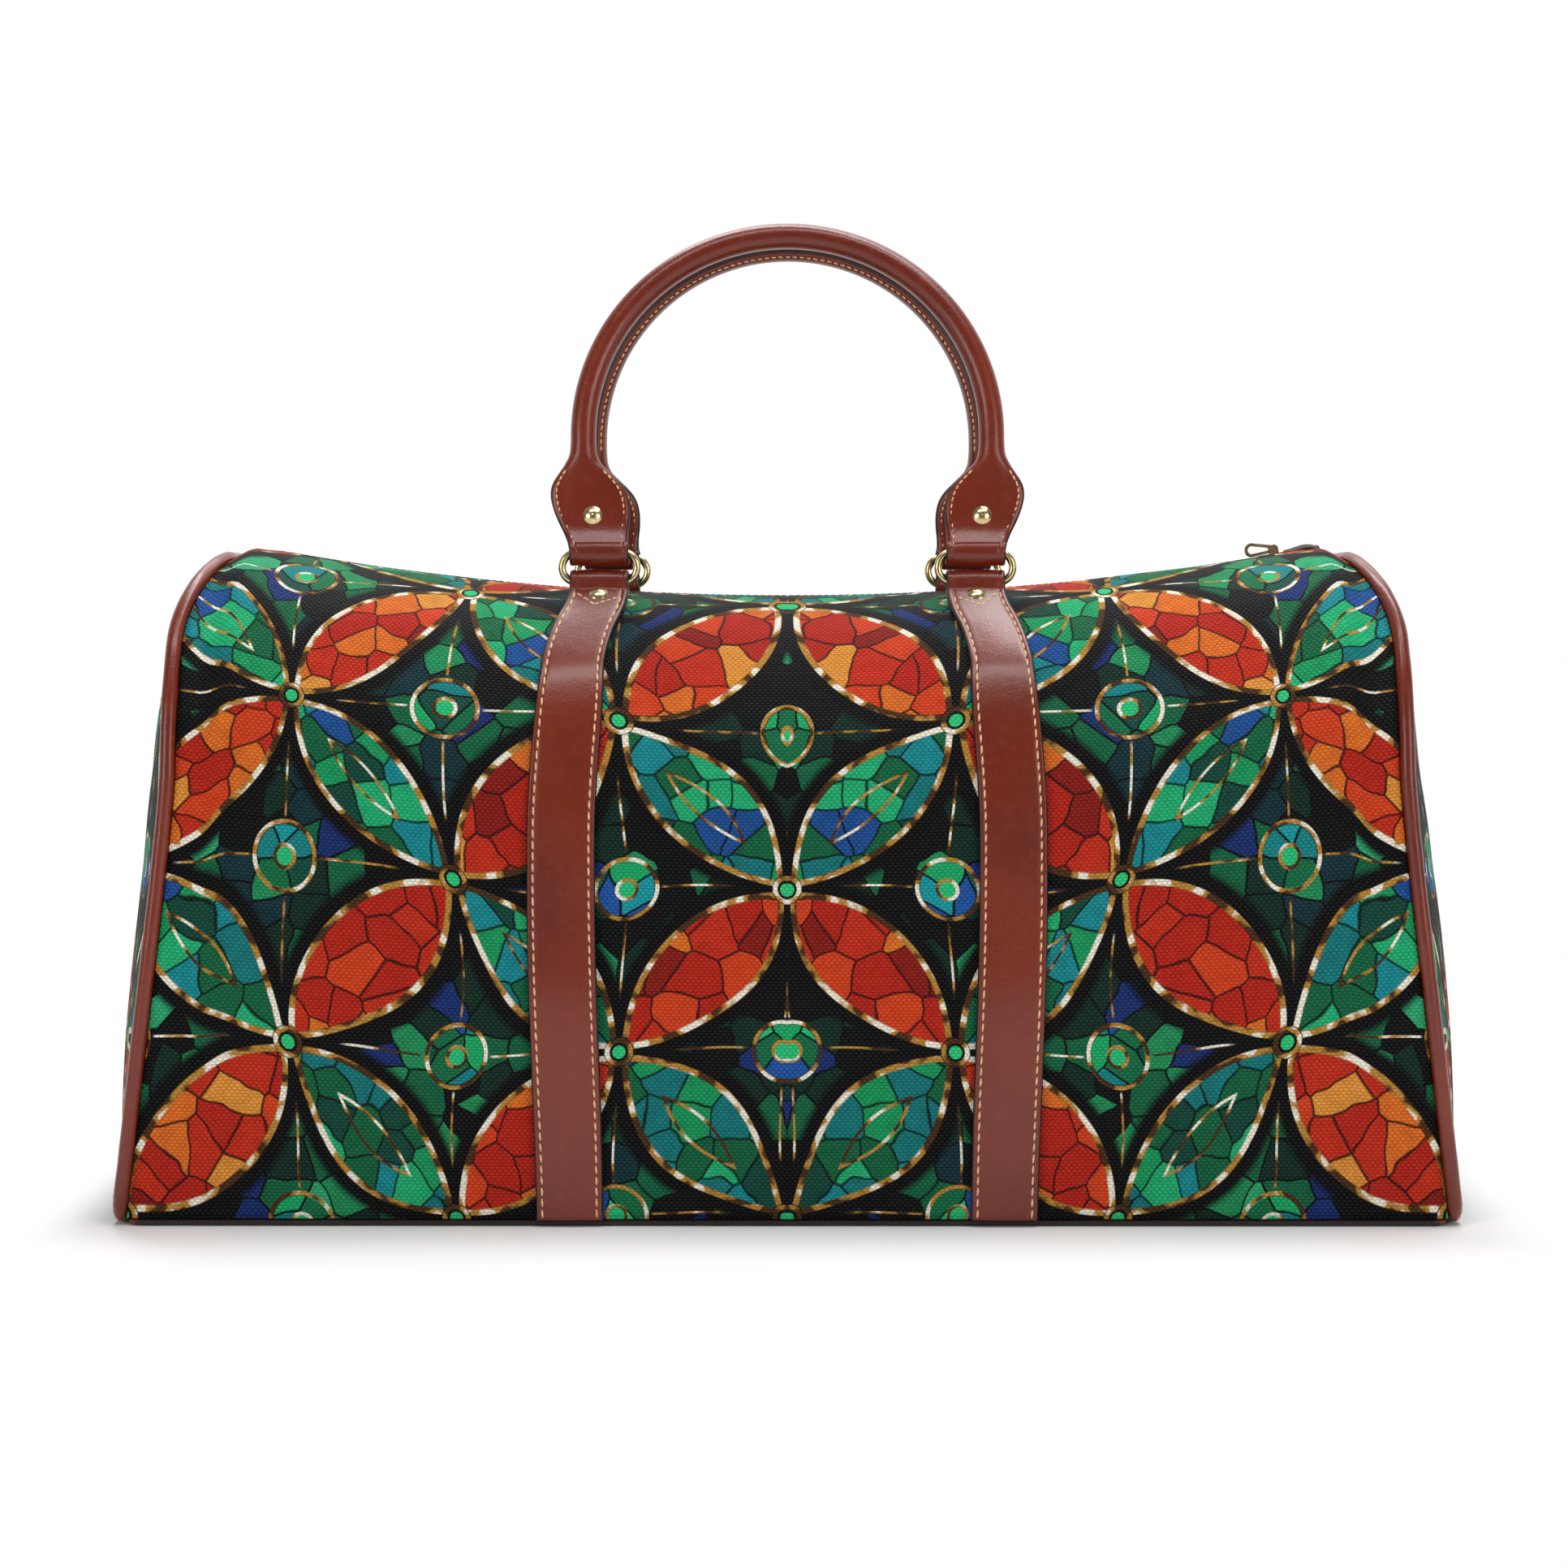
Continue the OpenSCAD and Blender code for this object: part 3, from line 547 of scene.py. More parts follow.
def loft(rings, looped=False, edge=None):
    """A skin through rings of points, closed at its ends or joined into a loop."""
    columns, count = len(rings[0]), len(rings)
    rows = count if looped else count - 1
    run = lengths([rings[i % count][0] for i in range(rows + 1)])
    girth = sum((rings[0][k] - rings[0][k - 1]).length for k in range(columns))

    def at(a, b):
        return round(b * rows), round(a * columns) % columns

    def place(a, b):
        i, k = at(a, b)
        return rings[i % count][k]

    def flat(a, b):
        return a * girth * MM, run[round(b * rows)] * MM

    def rim(a, b):
        i, k = at(a, b)
        return edge[i % count][k]

    mesh = surface(columns, rows, place, flat, rim if edge else None)
    bmesh.ops.remove_doubles(mesh, verts=mesh.verts, dist=1e-7)
    if not looped:
        bmesh.ops.holes_fill(mesh, edges=[e for e in mesh.edges if e.is_boundary], sides=0)
    return mesh


def piece(mesh, name, material, body, replaced=(), sides=FRONT, closed=True):
    """Mirrors a mesh to its place on the bag and makes it a piece that rides on a body."""
    if sides != FRONT:
        bmesh.ops.scale(mesh, vec=(sides[0], sides[1], 1), verts=mesh.verts)
    if closed:
        bmesh.ops.recalc_face_normals(mesh, faces=mesh.faces)
    data = bpy.data.meshes.new(name)
    mesh.to_mesh(data)
    mesh.free()
    data.materials.append(material)
    made = bpy.data.objects.new(name, data)
    bpy.context.scene.collection.objects.link(made)
    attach(made, body)
    if replaced:
        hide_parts(*replaced)
    return made


def thicken(made, thick):
    solid = made.modifiers.new("thickness", "SOLIDIFY")
    solid.thickness, solid.offset = thick * MM, -1.0
    solid.use_even_offset = True


def sew(spots, width, height):
    """Stitches as small drops of thread: each spot is a point, a direction, a normal and a length."""
    mesh = bmesh.new()
    for point, ahead, out, length in spots:
        side = ahead.cross(out).normalized()
        lay = (ahead.normalized() + 0.07 * side).normalized()
        side = lay.cross(out).normalized()
        stand = side.cross(lay)
        shape = Matrix((lay * length * MM, side * width * MM, stand * height * MM)).transposed().to_4x4()
        shape.translation = point * MM
        bmesh.ops.create_uvsphere(mesh, u_segments=6, v_segments=5, radius=0.5, matrix=shape)
    for face in mesh.faces:
        face.smooth = True
    return mesh


def walk(line, first, last, pitch):
    """Even stitches along a line of (point, normal) pairs: point, direction, normal, length."""
    run = lengths([point for point, _ in line])
    last = run[-1] + last if last <= 0 else last
    count = max(1, int((last - first) / pitch))
    spots, j = [], 0
    for i in range(count + 1):
        target = first + (last - first) * i / count
        while j < len(run) - 2 and run[j + 1] < target:
            j += 1
        share = (target - run[j]) / max(1e-9, run[j + 1] - run[j])
        (a, out_a), (b, out_b) = line[j], line[j + 1]
        out = out_a.lerp(out_b, share).normalized()
        spots.append((a.lerp(b, share), (b - a).normalized(), out, 0.88 * (last - first) / count))
    return spots


# ---------------------------------------------------------------- cloth walls

WALL_ROWS, WALL_COLUMNS = 96, 168
wall_stations, wall_length = even_stations(3.0, WALL_ROWS)


def wall(name, node, sides):
    """Cloth of one long side, from the base to the zip, with the row of thread beside the zip."""
    def at(a, b):
        t = wall_stations[round(b * WALL_ROWS)]
        x = (2 * a - 1) * (end_x(profile(t)[1]) - END_INSET)
        return x, t

    def place(a, b):
        x, t = at(a, b)
        hem = 0.6 * smooth(2.35, 2.5, t) * (1 - smooth(244, 250, abs(x)))
        return cloth(x, t, hem, slot_edge(x))

    def flat(a, b):
        return at(a, b)[0] * MM, b * wall_length * MM

    mesh = surface(WALL_COLUMNS, WALL_ROWS, place, flat)
    made = piece(mesh, name, PRINT, "bag", [node], sides, closed=False)
    thicken(made, CLOTH_T)
    line = []
    for i in range(121):
        x = (i / 60 - 1) * (ZIP_HALF - 6)
        line.append((cloth(x, 2.55, 0.6), Vector((0, 0, 1))))
    seam = sew(walk(line, 2, -2, SEAM_PITCH), 0.7, 0.34)
    piece(seam, name + "_zip_stitches", DARK_THREAD, "bag", (), sides)


def end_outline(inset, foot, corner, count):
    """Even points (y, z) of the middle profile round an end, from the front foot over the top."""
    half = []
    for i in range(10):
        turn = math.pi / 2 * (1 - i / 9)
        half.append(Vector((
            -DEPTH_HALF + inset + corner * (1 - math.cos(turn)), foot + corner * (1 - math.sin(turn)))))
    for i in range(61):
        t = 0.13 + 1.87 * i / 60
        (y, z), (ny, nz) = profile(t), profile_normal(t)
        half.append(Vector((y - inset * ny, z - inset * nz)))
    loop = half + [Vector((0.0, RIDGE - inset))] + [Vector((-p.x, p.y)) for p in reversed(half)]
    return spread(loop + loop[:1], count)


def end_point(y, z, out):
    x = end_x(z)
    return Vector((x + out, y, z * ridge_z(x) / RIDGE))


def end_dome(inset, foot, out, ripple):
    """Swollen panel of an end as a fan of rings about its middle."""
    around, steps = 132, 30
    rim = end_outline(inset, foot, PIPING_CORNER, around)
    middle = Vector((0.0, RIDGE / 2))

    def at(a, b):
        p = rim[round(a * around) % around]
        return middle + b * (p - middle)

    def place(a, b):
        p = at(a, b)
        wave = noise.noise(Vector((p.x * 0.013, p.y * 0.013, 5.0)))
        pucker = noise.noise(Vector((p.x * 0.055, p.y * 0.055, 1.7)))
        soft = ripple * ((1 - b ** 4) * 2.2 * wave + 0.9 * bell(b, 0.9, 0.07) * pucker)
        return end_point(p.x, p.y, out + END_SWELL * (1 - b * b) + soft)

    def flat(a, b):
        p = at(a, b)
        return p.x * MM, p.y * MM

    mesh = surface(around, steps, place, flat)
    bmesh.ops.remove_doubles(mesh, verts=mesh.verts, dist=1e-6)
    mesh.normal_update()
    if sum(face.normal.x * face.calc_area() for face in mesh.faces) < 0:
        bmesh.ops.reverse_faces(mesh, faces=mesh.faces)
    return mesh


def end_panel(side, sides):
    """Swollen cloth of one end, inside its piping."""
    mesh = end_dome(CLOTH_T / 2 + END_INSET, 2 * PIPING_R + 0.3, CLOTH_T / 2, 1.0)
    made = piece(
        mesh, side + "_end_cloth", PRINT, "bag", [side + "_end_panel"], sides, closed=False)
    thicken(made, CLOTH_T)


def piping(side, sides):
    """Leather roll round the seam of one end."""
    around, count = 14, 260
    path = [end_point(p.x, p.y, 0.0) for p in end_outline(CLOTH_T / 2, PIPING_R, PIPING_CORNER, count)]
    rings = []
    for i, spot in enumerate(path):
        ahead = (path[(i + 1) % count] - path[i - 1]).normalized()
        across = ahead.cross(Vector((1, 0, 0))).normalized()
        out = across.cross(ahead)
        round_by = PIPING_R + 0.18 * noise.noise(spot * 0.09)
        rings.append(circle(spot, round_by, across, out, around))
    piece(
        loft(rings, looped=True), side + "_piping_roll", LEATHER, "bag",
        [side + "_piping"], sides)


def base():
    """Leather base with a turned edge and a sewn line round its underside."""
    mesh = bmesh.new()
    half_x, half_y = BASE_HALF - END_INSET - 0.2, DEPTH_HALF - 0.2
    bmesh.ops.create_cube(mesh, size=1.0)
    bmesh.ops.scale(mesh, vec=(2 * half_x * MM, 2 * half_y * MM, BASE_T * MM), verts=mesh.verts)
    bmesh.ops.translate(mesh, vec=(0, 0, BASE_T / 2 * MM), verts=mesh.verts)
    upright = [e for e in mesh.edges if abs(e.verts[0].co.z - e.verts[1].co.z) > 1e-4]
    bmesh.ops.bevel(
        mesh, geom=upright, offset=6 * MM, offset_type="OFFSET", segments=5, profile=0.5,
        affect="EDGES", material=-1)
    rim = [e for e in mesh.edges if abs(e.verts[0].co.z - e.verts[1].co.z) < 1e-6]
    bmesh.ops.bevel(
        mesh, geom=rim, offset=0.9 * MM, offset_type="OFFSET", segments=3, profile=0.5,
        affect="EDGES", material=-1)
    mark = mesh.verts.layers.float.new("edge")
    for vert in mesh.verts:
        x, y = abs(vert.co.x) / MM, abs(vert.co.y) / MM
        # Sides of the base get the dark edge mark: partly edge paint, partly painted shade along the bottom
        # rim.
        vert[mark] = 0.75 if x > half_x - 0.5 or y > half_y - 0.5 else 0.0
    piece(mesh, "base_leather", LEATHER, "bag", ["base_panel"])
    down = Vector((0, 0, -1))
    x, y = half_x - 9, half_y - 9
    loop = [Vector((sx * x, sy * y, -0.05)) for sx, sy in ((-1, -1), (1, -1), (1, 1), (-1, 1), (-1, -1))]
    spots = []
    for a, b in zip(loop, loop[1:]):
        spots += walk([(a, down), (b, down)], 0, -STRAP_PITCH, STRAP_PITCH)
    piece(sew(spots, 0.8, 0.5), "base_stitches", TAN_THREAD, "bag")


# ---------------------------------------------------------------- lining

def lining_wrap():
    """One wrap of lining down the front, over the floor and up the back."""
    up, floor, columns = 40, 10, 60
    rows = 2 * up + floor
    stations, length = even_stations(2.0, up)

    def at(b):
        i = round(b * rows)
        if i <= up:
            return stations[up - i], -1
        if i >= up + floor:
            return stations[i - up - floor], 1
        return 0.0, -1 + 2 * (i - up) / floor

    def place(a, b):
        t, side = at(b)
        reach = end_x(profile(t)[1]) - END_INSET - LINING_T - 0.6
        x = (2 * a - 1) * reach
        slack = 1.5 * smooth(ZIP_HALF - 10, RIDGE_HALF, abs(x))
        soft = ease(x if side < 0 else -x, t)
        p = skin(x, t, soft - CLOTH_T - 0.9 - slack, LINING_FOOT)
        return p.x, p.y * -side, p.z

    def flat(a, b):
        return (2 * a - 1) * 0.29, b * (2 * length + 2 * DEPTH_HALF) * MM

    mesh = surface(columns, rows, place, flat)
    made = piece(mesh, "lining_wrap", LINING, "bag", ["lining_body"], closed=False)
    thicken(made, LINING_T)


def lining_end(side, sides):
    """Lining of one end, just inside its cloth."""
    mesh = end_dome(
        CLOTH_T + END_INSET + LINING_T + 0.9, LINING_FOOT + LINING_T + 0.6, -CLOTH_T / 2 - 0.3, 0.0)
    made = piece(
        mesh, side + "_end_lining", LINING, "bag", ["lining_" + side + "_end"], sides,
        closed=False)
    thicken(made, LINING_T)


# ---------------------------------------------------------------- straps

STRAP_ROWS, STRAP_TOP, LOOP_MEET = 130, 1.5, 6.9
NARROW_ROW, RIVET_ROW = 110, 148
EDGE_STEPS = (0.0, 0.15, 0.5, 1.1, 1.9, 2.5, 2.9, 3.3, 3.9, 5.5, 8.5, 12.0)


def strap_section(half, thick):
    """Cross-section of sewn leather: (across, out, edge), with rounded edges and sunk seams."""
    side = []
    for inward in EDGE_STEPS:
        height = thick / 2 * math.sqrt(1 - max(0.0, 1 - inward / 1.1) ** 2)
        height += 0.3 * smooth(3.2, 12, inward) - 0.3 * bell(inward, STITCH_IN, 0.5)
        side.append((half - inward, height, 1 - smooth(0.3, 1.2, inward)))
    top = [(-w, h, e) for w, h, e in side] + [(0.0, thick / 2 + 0.3, 0.0)] + side[::-1]
    under = [(half - 0.5, -0.87 * thick / 2, 1.0), (half - 1.4, -thick / 2, 0.3), (0.0, -thick / 2, 0.0)]
    return top + under + [(-w, h, e) for w, h, e in under[1::-1]]


def strap_x(z):
    mid = 98.5 + 3.5 * smooth(0, 0.85 * WALL_TOP, z)
    return mid - 4.48 * smooth(WALL_TOP - 8, RIDGE - 20, z)


def round_bar(bend, meet_run, meet_off):
    """Path of leather round a ring bar as (run, off): in along one layer, round the bar and out again."""
    reach = math.hypot(meet_run, meet_off)
    lead = math.atan2(meet_off, meet_run) + math.acos(bend / reach)
    touch = (bend * math.cos(lead), bend * math.sin(lead))
    inward = []
    for i in range(5):
        inward.append((
            meet_run + (touch[0] - meet_run) * i / 5, meet_off + (touch[1] - meet_off) * i / 5))
    turn = []
    for i in range(31):
        angle = lead + (math.tau - 2 * lead) * i / 30
        turn.append((bend * math.cos(angle), bend * math.sin(angle)))
    return inward + turn + [(run, -off) for run, off in reversed(inward)]


def strap_line():
    """Middle of the front right strap: up the wall, over the ring bar and back under itself."""
    line = []
    for i in range(STRAP_ROWS + 1):
        t = STRAP_TOP * i / STRAP_ROWS
        line.append(cloth(strap_x(profile(t)[1]), t, STRAP_GAP + STRAP_T / 2))
    last = line[-1].x
    along = (math.cos(LIFT_ANGLE), math.sin(LIFT_ANGLE))
    out = (along[1], -along[0])

    def by_bar(run, off):
        x = RING_X + (last - RING_X) * smooth(7, LIFT_LENGTH + 12, run)
        return Vector((x, RING_Y + run * along[0] + off * out[0], LOWER_BAR + run * along[1] + off * out[1]))

    layer = STRAP_T / 2
    for i in range(21):
        run = 33.0 - 26.1 * i / 21
        line.append(by_bar(run, layer + 0.1 + 0.5 * smooth(12, 33, run)))
    for run, off in round_bar(STRAP_LOOP, LOOP_MEET, layer + 0.1):
        line.append(by_bar(run, off))
    for i in range(1, 8):
        line.append(by_bar(LOOP_MEET + 9.1 * i / 7, -layer - 0.1))
    for _ in range(8):
        kept = [p.copy() for p in line]
        for i in range(NARROW_ROW, 150):
            line[i] = (kept[i - 1] + kept[i] * 2 + kept[i + 1]) / 4
    return line


def frames_along(line):
    """Point, side and outward normal at each spot of a strap's line."""
    made = []
    for i, spot in enumerate(line):
        ahead = (line[min(i + 1, len(line) - 1)] - line[max(i - 1, 0)]).normalized()
        out = Vector((0, -ahead.z, ahead.y)).normalized()
        made.append((spot, ahead.cross(out).normalized(), out))
    return made


def strap_half(i, spot):
    """Half width along the strap: a little narrower at the base and over the ring."""
    if i >= NARROW_ROW:
        return 15.4 - 1.7 * smooth(NARROW_ROW, 140, i)
    return 15.2 + 0.3 * smooth(0, 60, spot.z) - 0.1 * smooth(60, NARROW_ROW, i)


def strap(name, sides):
    """One strap with its two rows of thread and the V of thread under its rivet."""
    frames = frames_along(strap_line())
    rings, edges = [], []
    for i, (spot, side, out) in enumerate(frames):
        section = strap_section(strap_half(i, spot), STRAP_T)
        rings.append([spot + w * side + h * out for w, h, _ in section])
        edges.append([e for _, _, e in section])
    piece(loft(rings, edge=edges), name + "_leather", LEATHER, "bag", [name], sides)

    rise = STRAP_T / 2 - 0.12
    spots = []
    for hand in (-1, 1):
        line = []
        for i, (spot, side, out) in enumerate(frames[:RIVET_ROW + 1]):
            line.append((spot + hand * (strap_half(i, spot) - STITCH_IN) * side + rise * out, out))
        spots += walk(line, 3, -1, STRAP_PITCH)
        spot, side, out = frames[RIVET_ROW]
        apex, _, apex_out = frames[RIVET_ROW - 5]
        first = spot + hand * (strap_half(RIVET_ROW, spot) - STITCH_IN - 1.5) * side + (rise + 0.25) * out
        spots += walk([(first, out), (apex + (rise + 0.35) * apex_out, apex_out)], 1.3, -1.3, FINE_PITCH)
    piece(sew(spots, 1.05, 0.62), name + "_stitches", TAN_THREAD, "bag", (), sides)


# ---------------------------------------------------------------- handles

TAB_SHAPE = (
    # rise, half width, half thickness, squareness
    (3, 14.0, 5.6, 9), (5, 14.2, 4.85, 9), (7.5, 14.7, 3.92, 9), (10, 15.3, 3.1, 9), (12.5, 16.1, 2.6, 8),
    (15, 16.8, 2.38, 8), (18, 17.5, 2.3, 8), (22, 18.1, 2.35, 7), (26.5, 18.1, 2.55, 6), (30.5, 17.1, 2.9, 5),
    (34, 15.1, 3.5, 4), (38, 11.9, 4.4, 3), (42.3, 8.5, 5.2, 2.3), (46.5, 6.6, 5.8, 2.0),
    (52, GRIP_R, GRIP_R, 2.0))
SECTION_STEPS, GRIP_SIDES = 720, 64
SEAM_TURN = 82.0
FOLD_MEET = 12.0


def tab_at(rise):
    """Half width, half thickness and squareness of a handle end, eased between its stations."""
    if rise >= TAB_SHAPE[-1][0]:
        return TAB_SHAPE[-1][1:]
    i = 0
    while TAB_SHAPE[i + 1][0] < rise:
        i += 1
    before, a, b, after = (TAB_SHAPE[clamp(j, 0, len(TAB_SHAPE) - 1)] for j in (i - 1, i, i + 1, i + 2))
    s = (rise - a[0]) / (b[0] - a[0])
    values = []
    for k in (1, 2, 3):
        m0 = (b[k] - before[k]) / (b[0] - before[0]) * (b[0] - a[0])
        m1 = (after[k] - a[k]) / (after[0] - a[0]) * (b[0] - a[0])
        values.append(
            (2 * s ** 3 - 3 * s * s + 1) * a[k] + (s ** 3 - 2 * s * s + s) * m0
            + (3 * s * s - 2 * s ** 3) * b[k] + (s ** 3 - s * s) * m1)
    return values


def round_flat(half_w, half_t, power):
    """Even points of a rounded flat section, from the middle of its inner edge."""
    fine = []
    for k in range(SECTION_STEPS):
        c, s = math.cos(k * math.tau / SECTION_STEPS), math.sin(k * math.tau / SECTION_STEPS)
        fine.append(Vector((
            half_w * math.copysign(abs(c) ** (2 / power), c),
            half_t * math.copysign(abs(s) ** (2 / power), s))))
    return spread(fine + fine[:1], GRIP_SIDES)


def handle_spots():
    """Centre, inward side and rise above the ring for each ring of the front handle, left to right."""
    leg = []
    rise = 3.0
    while rise < GRIP_RISE:
        x = RING_X + TAB_LEAN * min(rise, LEAN_TOP)
        leg.append((Vector((-x, RING_Y, UPPER_BAR + rise)), Vector((1, 0, 0)), rise))
        rise += 0.9 if rise < 46 else 1.8
    arch = []
    for i in range(73):
        turn = math.pi * (1 - i / 72)
        inward = Vector((-math.cos(turn), 0, -math.sin(turn)))
        arch.append((Vector((0, RING_Y, ARCH_Z)) - ARCH_R * inward, inward, 99.0))
    right = [(Vector((-p.x, p.y, p.z)), -side, rise) for p, side, rise in reversed(leg)]
    return leg + arch + right


def lean_in(mesh):
    """Leans a part of the front handle in over the zip, about the upper bars of its rings."""
    bmesh.ops.rotate(
        mesh, cent=(0, RING_Y * MM, UPPER_BAR * MM), matrix=Matrix.Rotation(-HANDLE_LEAN, 3, "X"),
        verts=mesh.verts)
    return mesh


def handle(name, body, sides):
    """One rolled grip with its flat ends, their folds round the ring bars, and its thread."""
    spots = handle_spots()
    ahead_y = Vector((0, 1, 0))
    rings, edges = [], []
    for centre, side, rise in spots:
        half_w, half_t, power = tab_at(rise)
        flatness = 1 - smooth(32, 45, rise)
        ring, rim = [], []
        for p in round_flat(half_w, half_t, power):
            w, h = p
            in_from_edge = half_w - abs(w)
            if flatness > 0 and abs(h) > 0.6 * half_t:
                shift = 0.3 * smooth(3.4, 12, in_from_edge) - 0.3 * bell(in_from_edge, STITCH_IN, 0.6)
                h += math.copysign(flatness * shift, h)
            turn = math.degrees(math.atan2(h, w))
            lap = (1 - flatness) * smooth(10, 70, turn) * (1 - smooth(SEAM_TURN - 3, SEAM_TURN + 5, turn))
            grow = 1 + 0.9 * lap / GRIP_R
            ring.append(centre + w * grow * side + h * grow * ahead_y)
            seam_edge = (1 - flatness) * bell(turn, SEAM_TURN + 3, 8)
            rim.append(max(seam_edge, flatness * (1 - smooth(0.3, 1.1, in_from_edge))))
        rings.append(ring)
        edges.append(rim)
    piece(lean_in(loft(rings, edge=edges)), name + "_leather", LEATHER, body, [name], sides)

    layer = HANDLE_T / 2
    for hand, label in ((-1, "left"), (1, "right")):
        line = []
        for run, off in round_bar(HANDLE_LOOP, FOLD_MEET, layer - 0.1):
            if run < 4.6:
                x = RING_X + TAB_LEAN * max(0.0, run)
                line.append(Vector((hand * x, RING_Y - 0.975 * off, UPPER_BAR + run)))
        turns, rims = [], []
        for i, spot in enumerate(line):
            ahead = (line[min(i + 1, len(line) - 1)] - line[max(i - 1, 0)]).normalized()
            out = Vector((0, ahead.z, -ahead.y)).normalized()
            half = 13.9 + 0.1 * smooth(0, 4, spot.z - UPPER_BAR)
            section = strap_section(half, HANDLE_T)
            turns.append([spot + Vector((w, 0, 0)) + h * out for w, h, _ in section])
            rims.append([e for _, _, e in section])
        piece(
            lean_in(loft(turns, edge=rims)), name + "_" + label + "_fold", LEATHER, body, (),
            sides)

    stitches = []
    for mirror in (-1, 1):
        for edge_hand in (-1, 1):
            for face in (-1, 1):
                line = []
                rise = 3.2
                while rise <= 38:
                    half_w, half_t, _ = tab_at(rise)
                    x = RING_X + TAB_LEAN * rise + edge_hand * (half_w - STITCH_IN)
                    stand = 0.97 * half_t - 0.05
                    line.append((
                        Vector((mirror * x, RING_Y + face * stand, UPPER_BAR + rise)),
                        Vector((0, face, 0))))
                    rise += 0.5
                stitches += walk(line, 0.5, -0.5, FINE_PITCH)
    seam = []
    for centre, side, rise in spots:
        if rise > 52:
            turn = math.radians(SEAM_TURN - 22)
            out = math.cos(turn) * side + math.sin(turn) * ahead_y
            seam.append((centre + (GRIP_R + 0.75) * out, out))
    stitches += walk(seam, 2, -2, SEAM_PITCH)
    piece(lean_in(sew(stitches, 1.0, 0.62)), name + "_stitches", TAN_THREAD, body, (), sides)


# ---------------------------------------------------------------- rings

def ring(name, body, sides):
    """Oval of round wire that joins a strap to a handle end."""
    radius, around = (UPPER_BAR - LOWER_BAR) / 2, 16
    middle = Vector((RING_X, RING_Y, (UPPER_BAR + LOWER_BAR) / 2))
    turns = []
    for end in (1, -1):
        for i in range(25):
            angle = math.pi * (i / 24 - 0.5) + (0 if end > 0 else math.pi)
            out = Vector((math.cos(angle), 0, math.sin(angle)))
            centre = middle + Vector((end * RING_STRAIGHT, 0, 0)) + radius * out
            turns.append(circle(centre, RING_WIRE, out, Vector((0, 1, 0)), around))
    piece(loft(turns, looped=True), name + "_wire", GOLD, body, [name], sides)


# ---------------------------------------------------------------- zip

def zip_tape(name, node, sides):
    """One tape of the zip, under the hem of the wall."""
    columns, rows = 140, 10

    def at(a, b):
        return (2 * a - 1) * ZIP_HALF, TAPE_EDGE + TAPE_WIDTH * b

    def place(a, b):
        x, y = at(a, b)
        return x, y, ridge_arc(x) - TAPE_DROP

    def flat(a, b):
        x, y = at(a, b)
        return x * MM, y * MM

    mesh = surface(columns, rows, place, flat)
    made = piece(mesh, name, TAPE, "bag", [node], sides, closed=False)
    thicken(made, TAPE_T)


def zip_tail():
    """Free end of the zip's cloth: a flap that lies on the ridge and stands clear of its falling end."""
    start, length, half = ZIP_HALF - 9.0, 16.0, 6.5

    def at(a, b):
        return length * a, half * (2 * b - 1)

    def place(a, b):
        s, y = at(a, b)
        x = start + s
        top = ridge_arc(min(x, ZIP_HALF + 1)) + 1.9 + 1.0 * smooth(0, 9, s) - 0.012 * max(0.0, s - 9) ** 2
        hem = 0.35 * bell(s, length - 2.0, 0.6)
        return x, y, top - 1.9 * (abs(y) / half) ** 3 - hem

    def flat(a, b):
        s, y = at(a, b)
        return s * MM, y * MM

    mesh = surface(32, 18, place, flat)
    made = piece(mesh, "zip_tail_tape", TAPE, "bag", ["zip_tail"], closed=False)
    thicken(made, TAIL_T)


# ---------------------------------------------------------------- camera, light and floor

IMAGE_PX, FOCAL_PX, SENSOR = 1932, 3800.0, 36.0
TILT_DOWN, TURN_LEFT = 0.0509, 0.0029
ROOM_LIGHT = 0.14


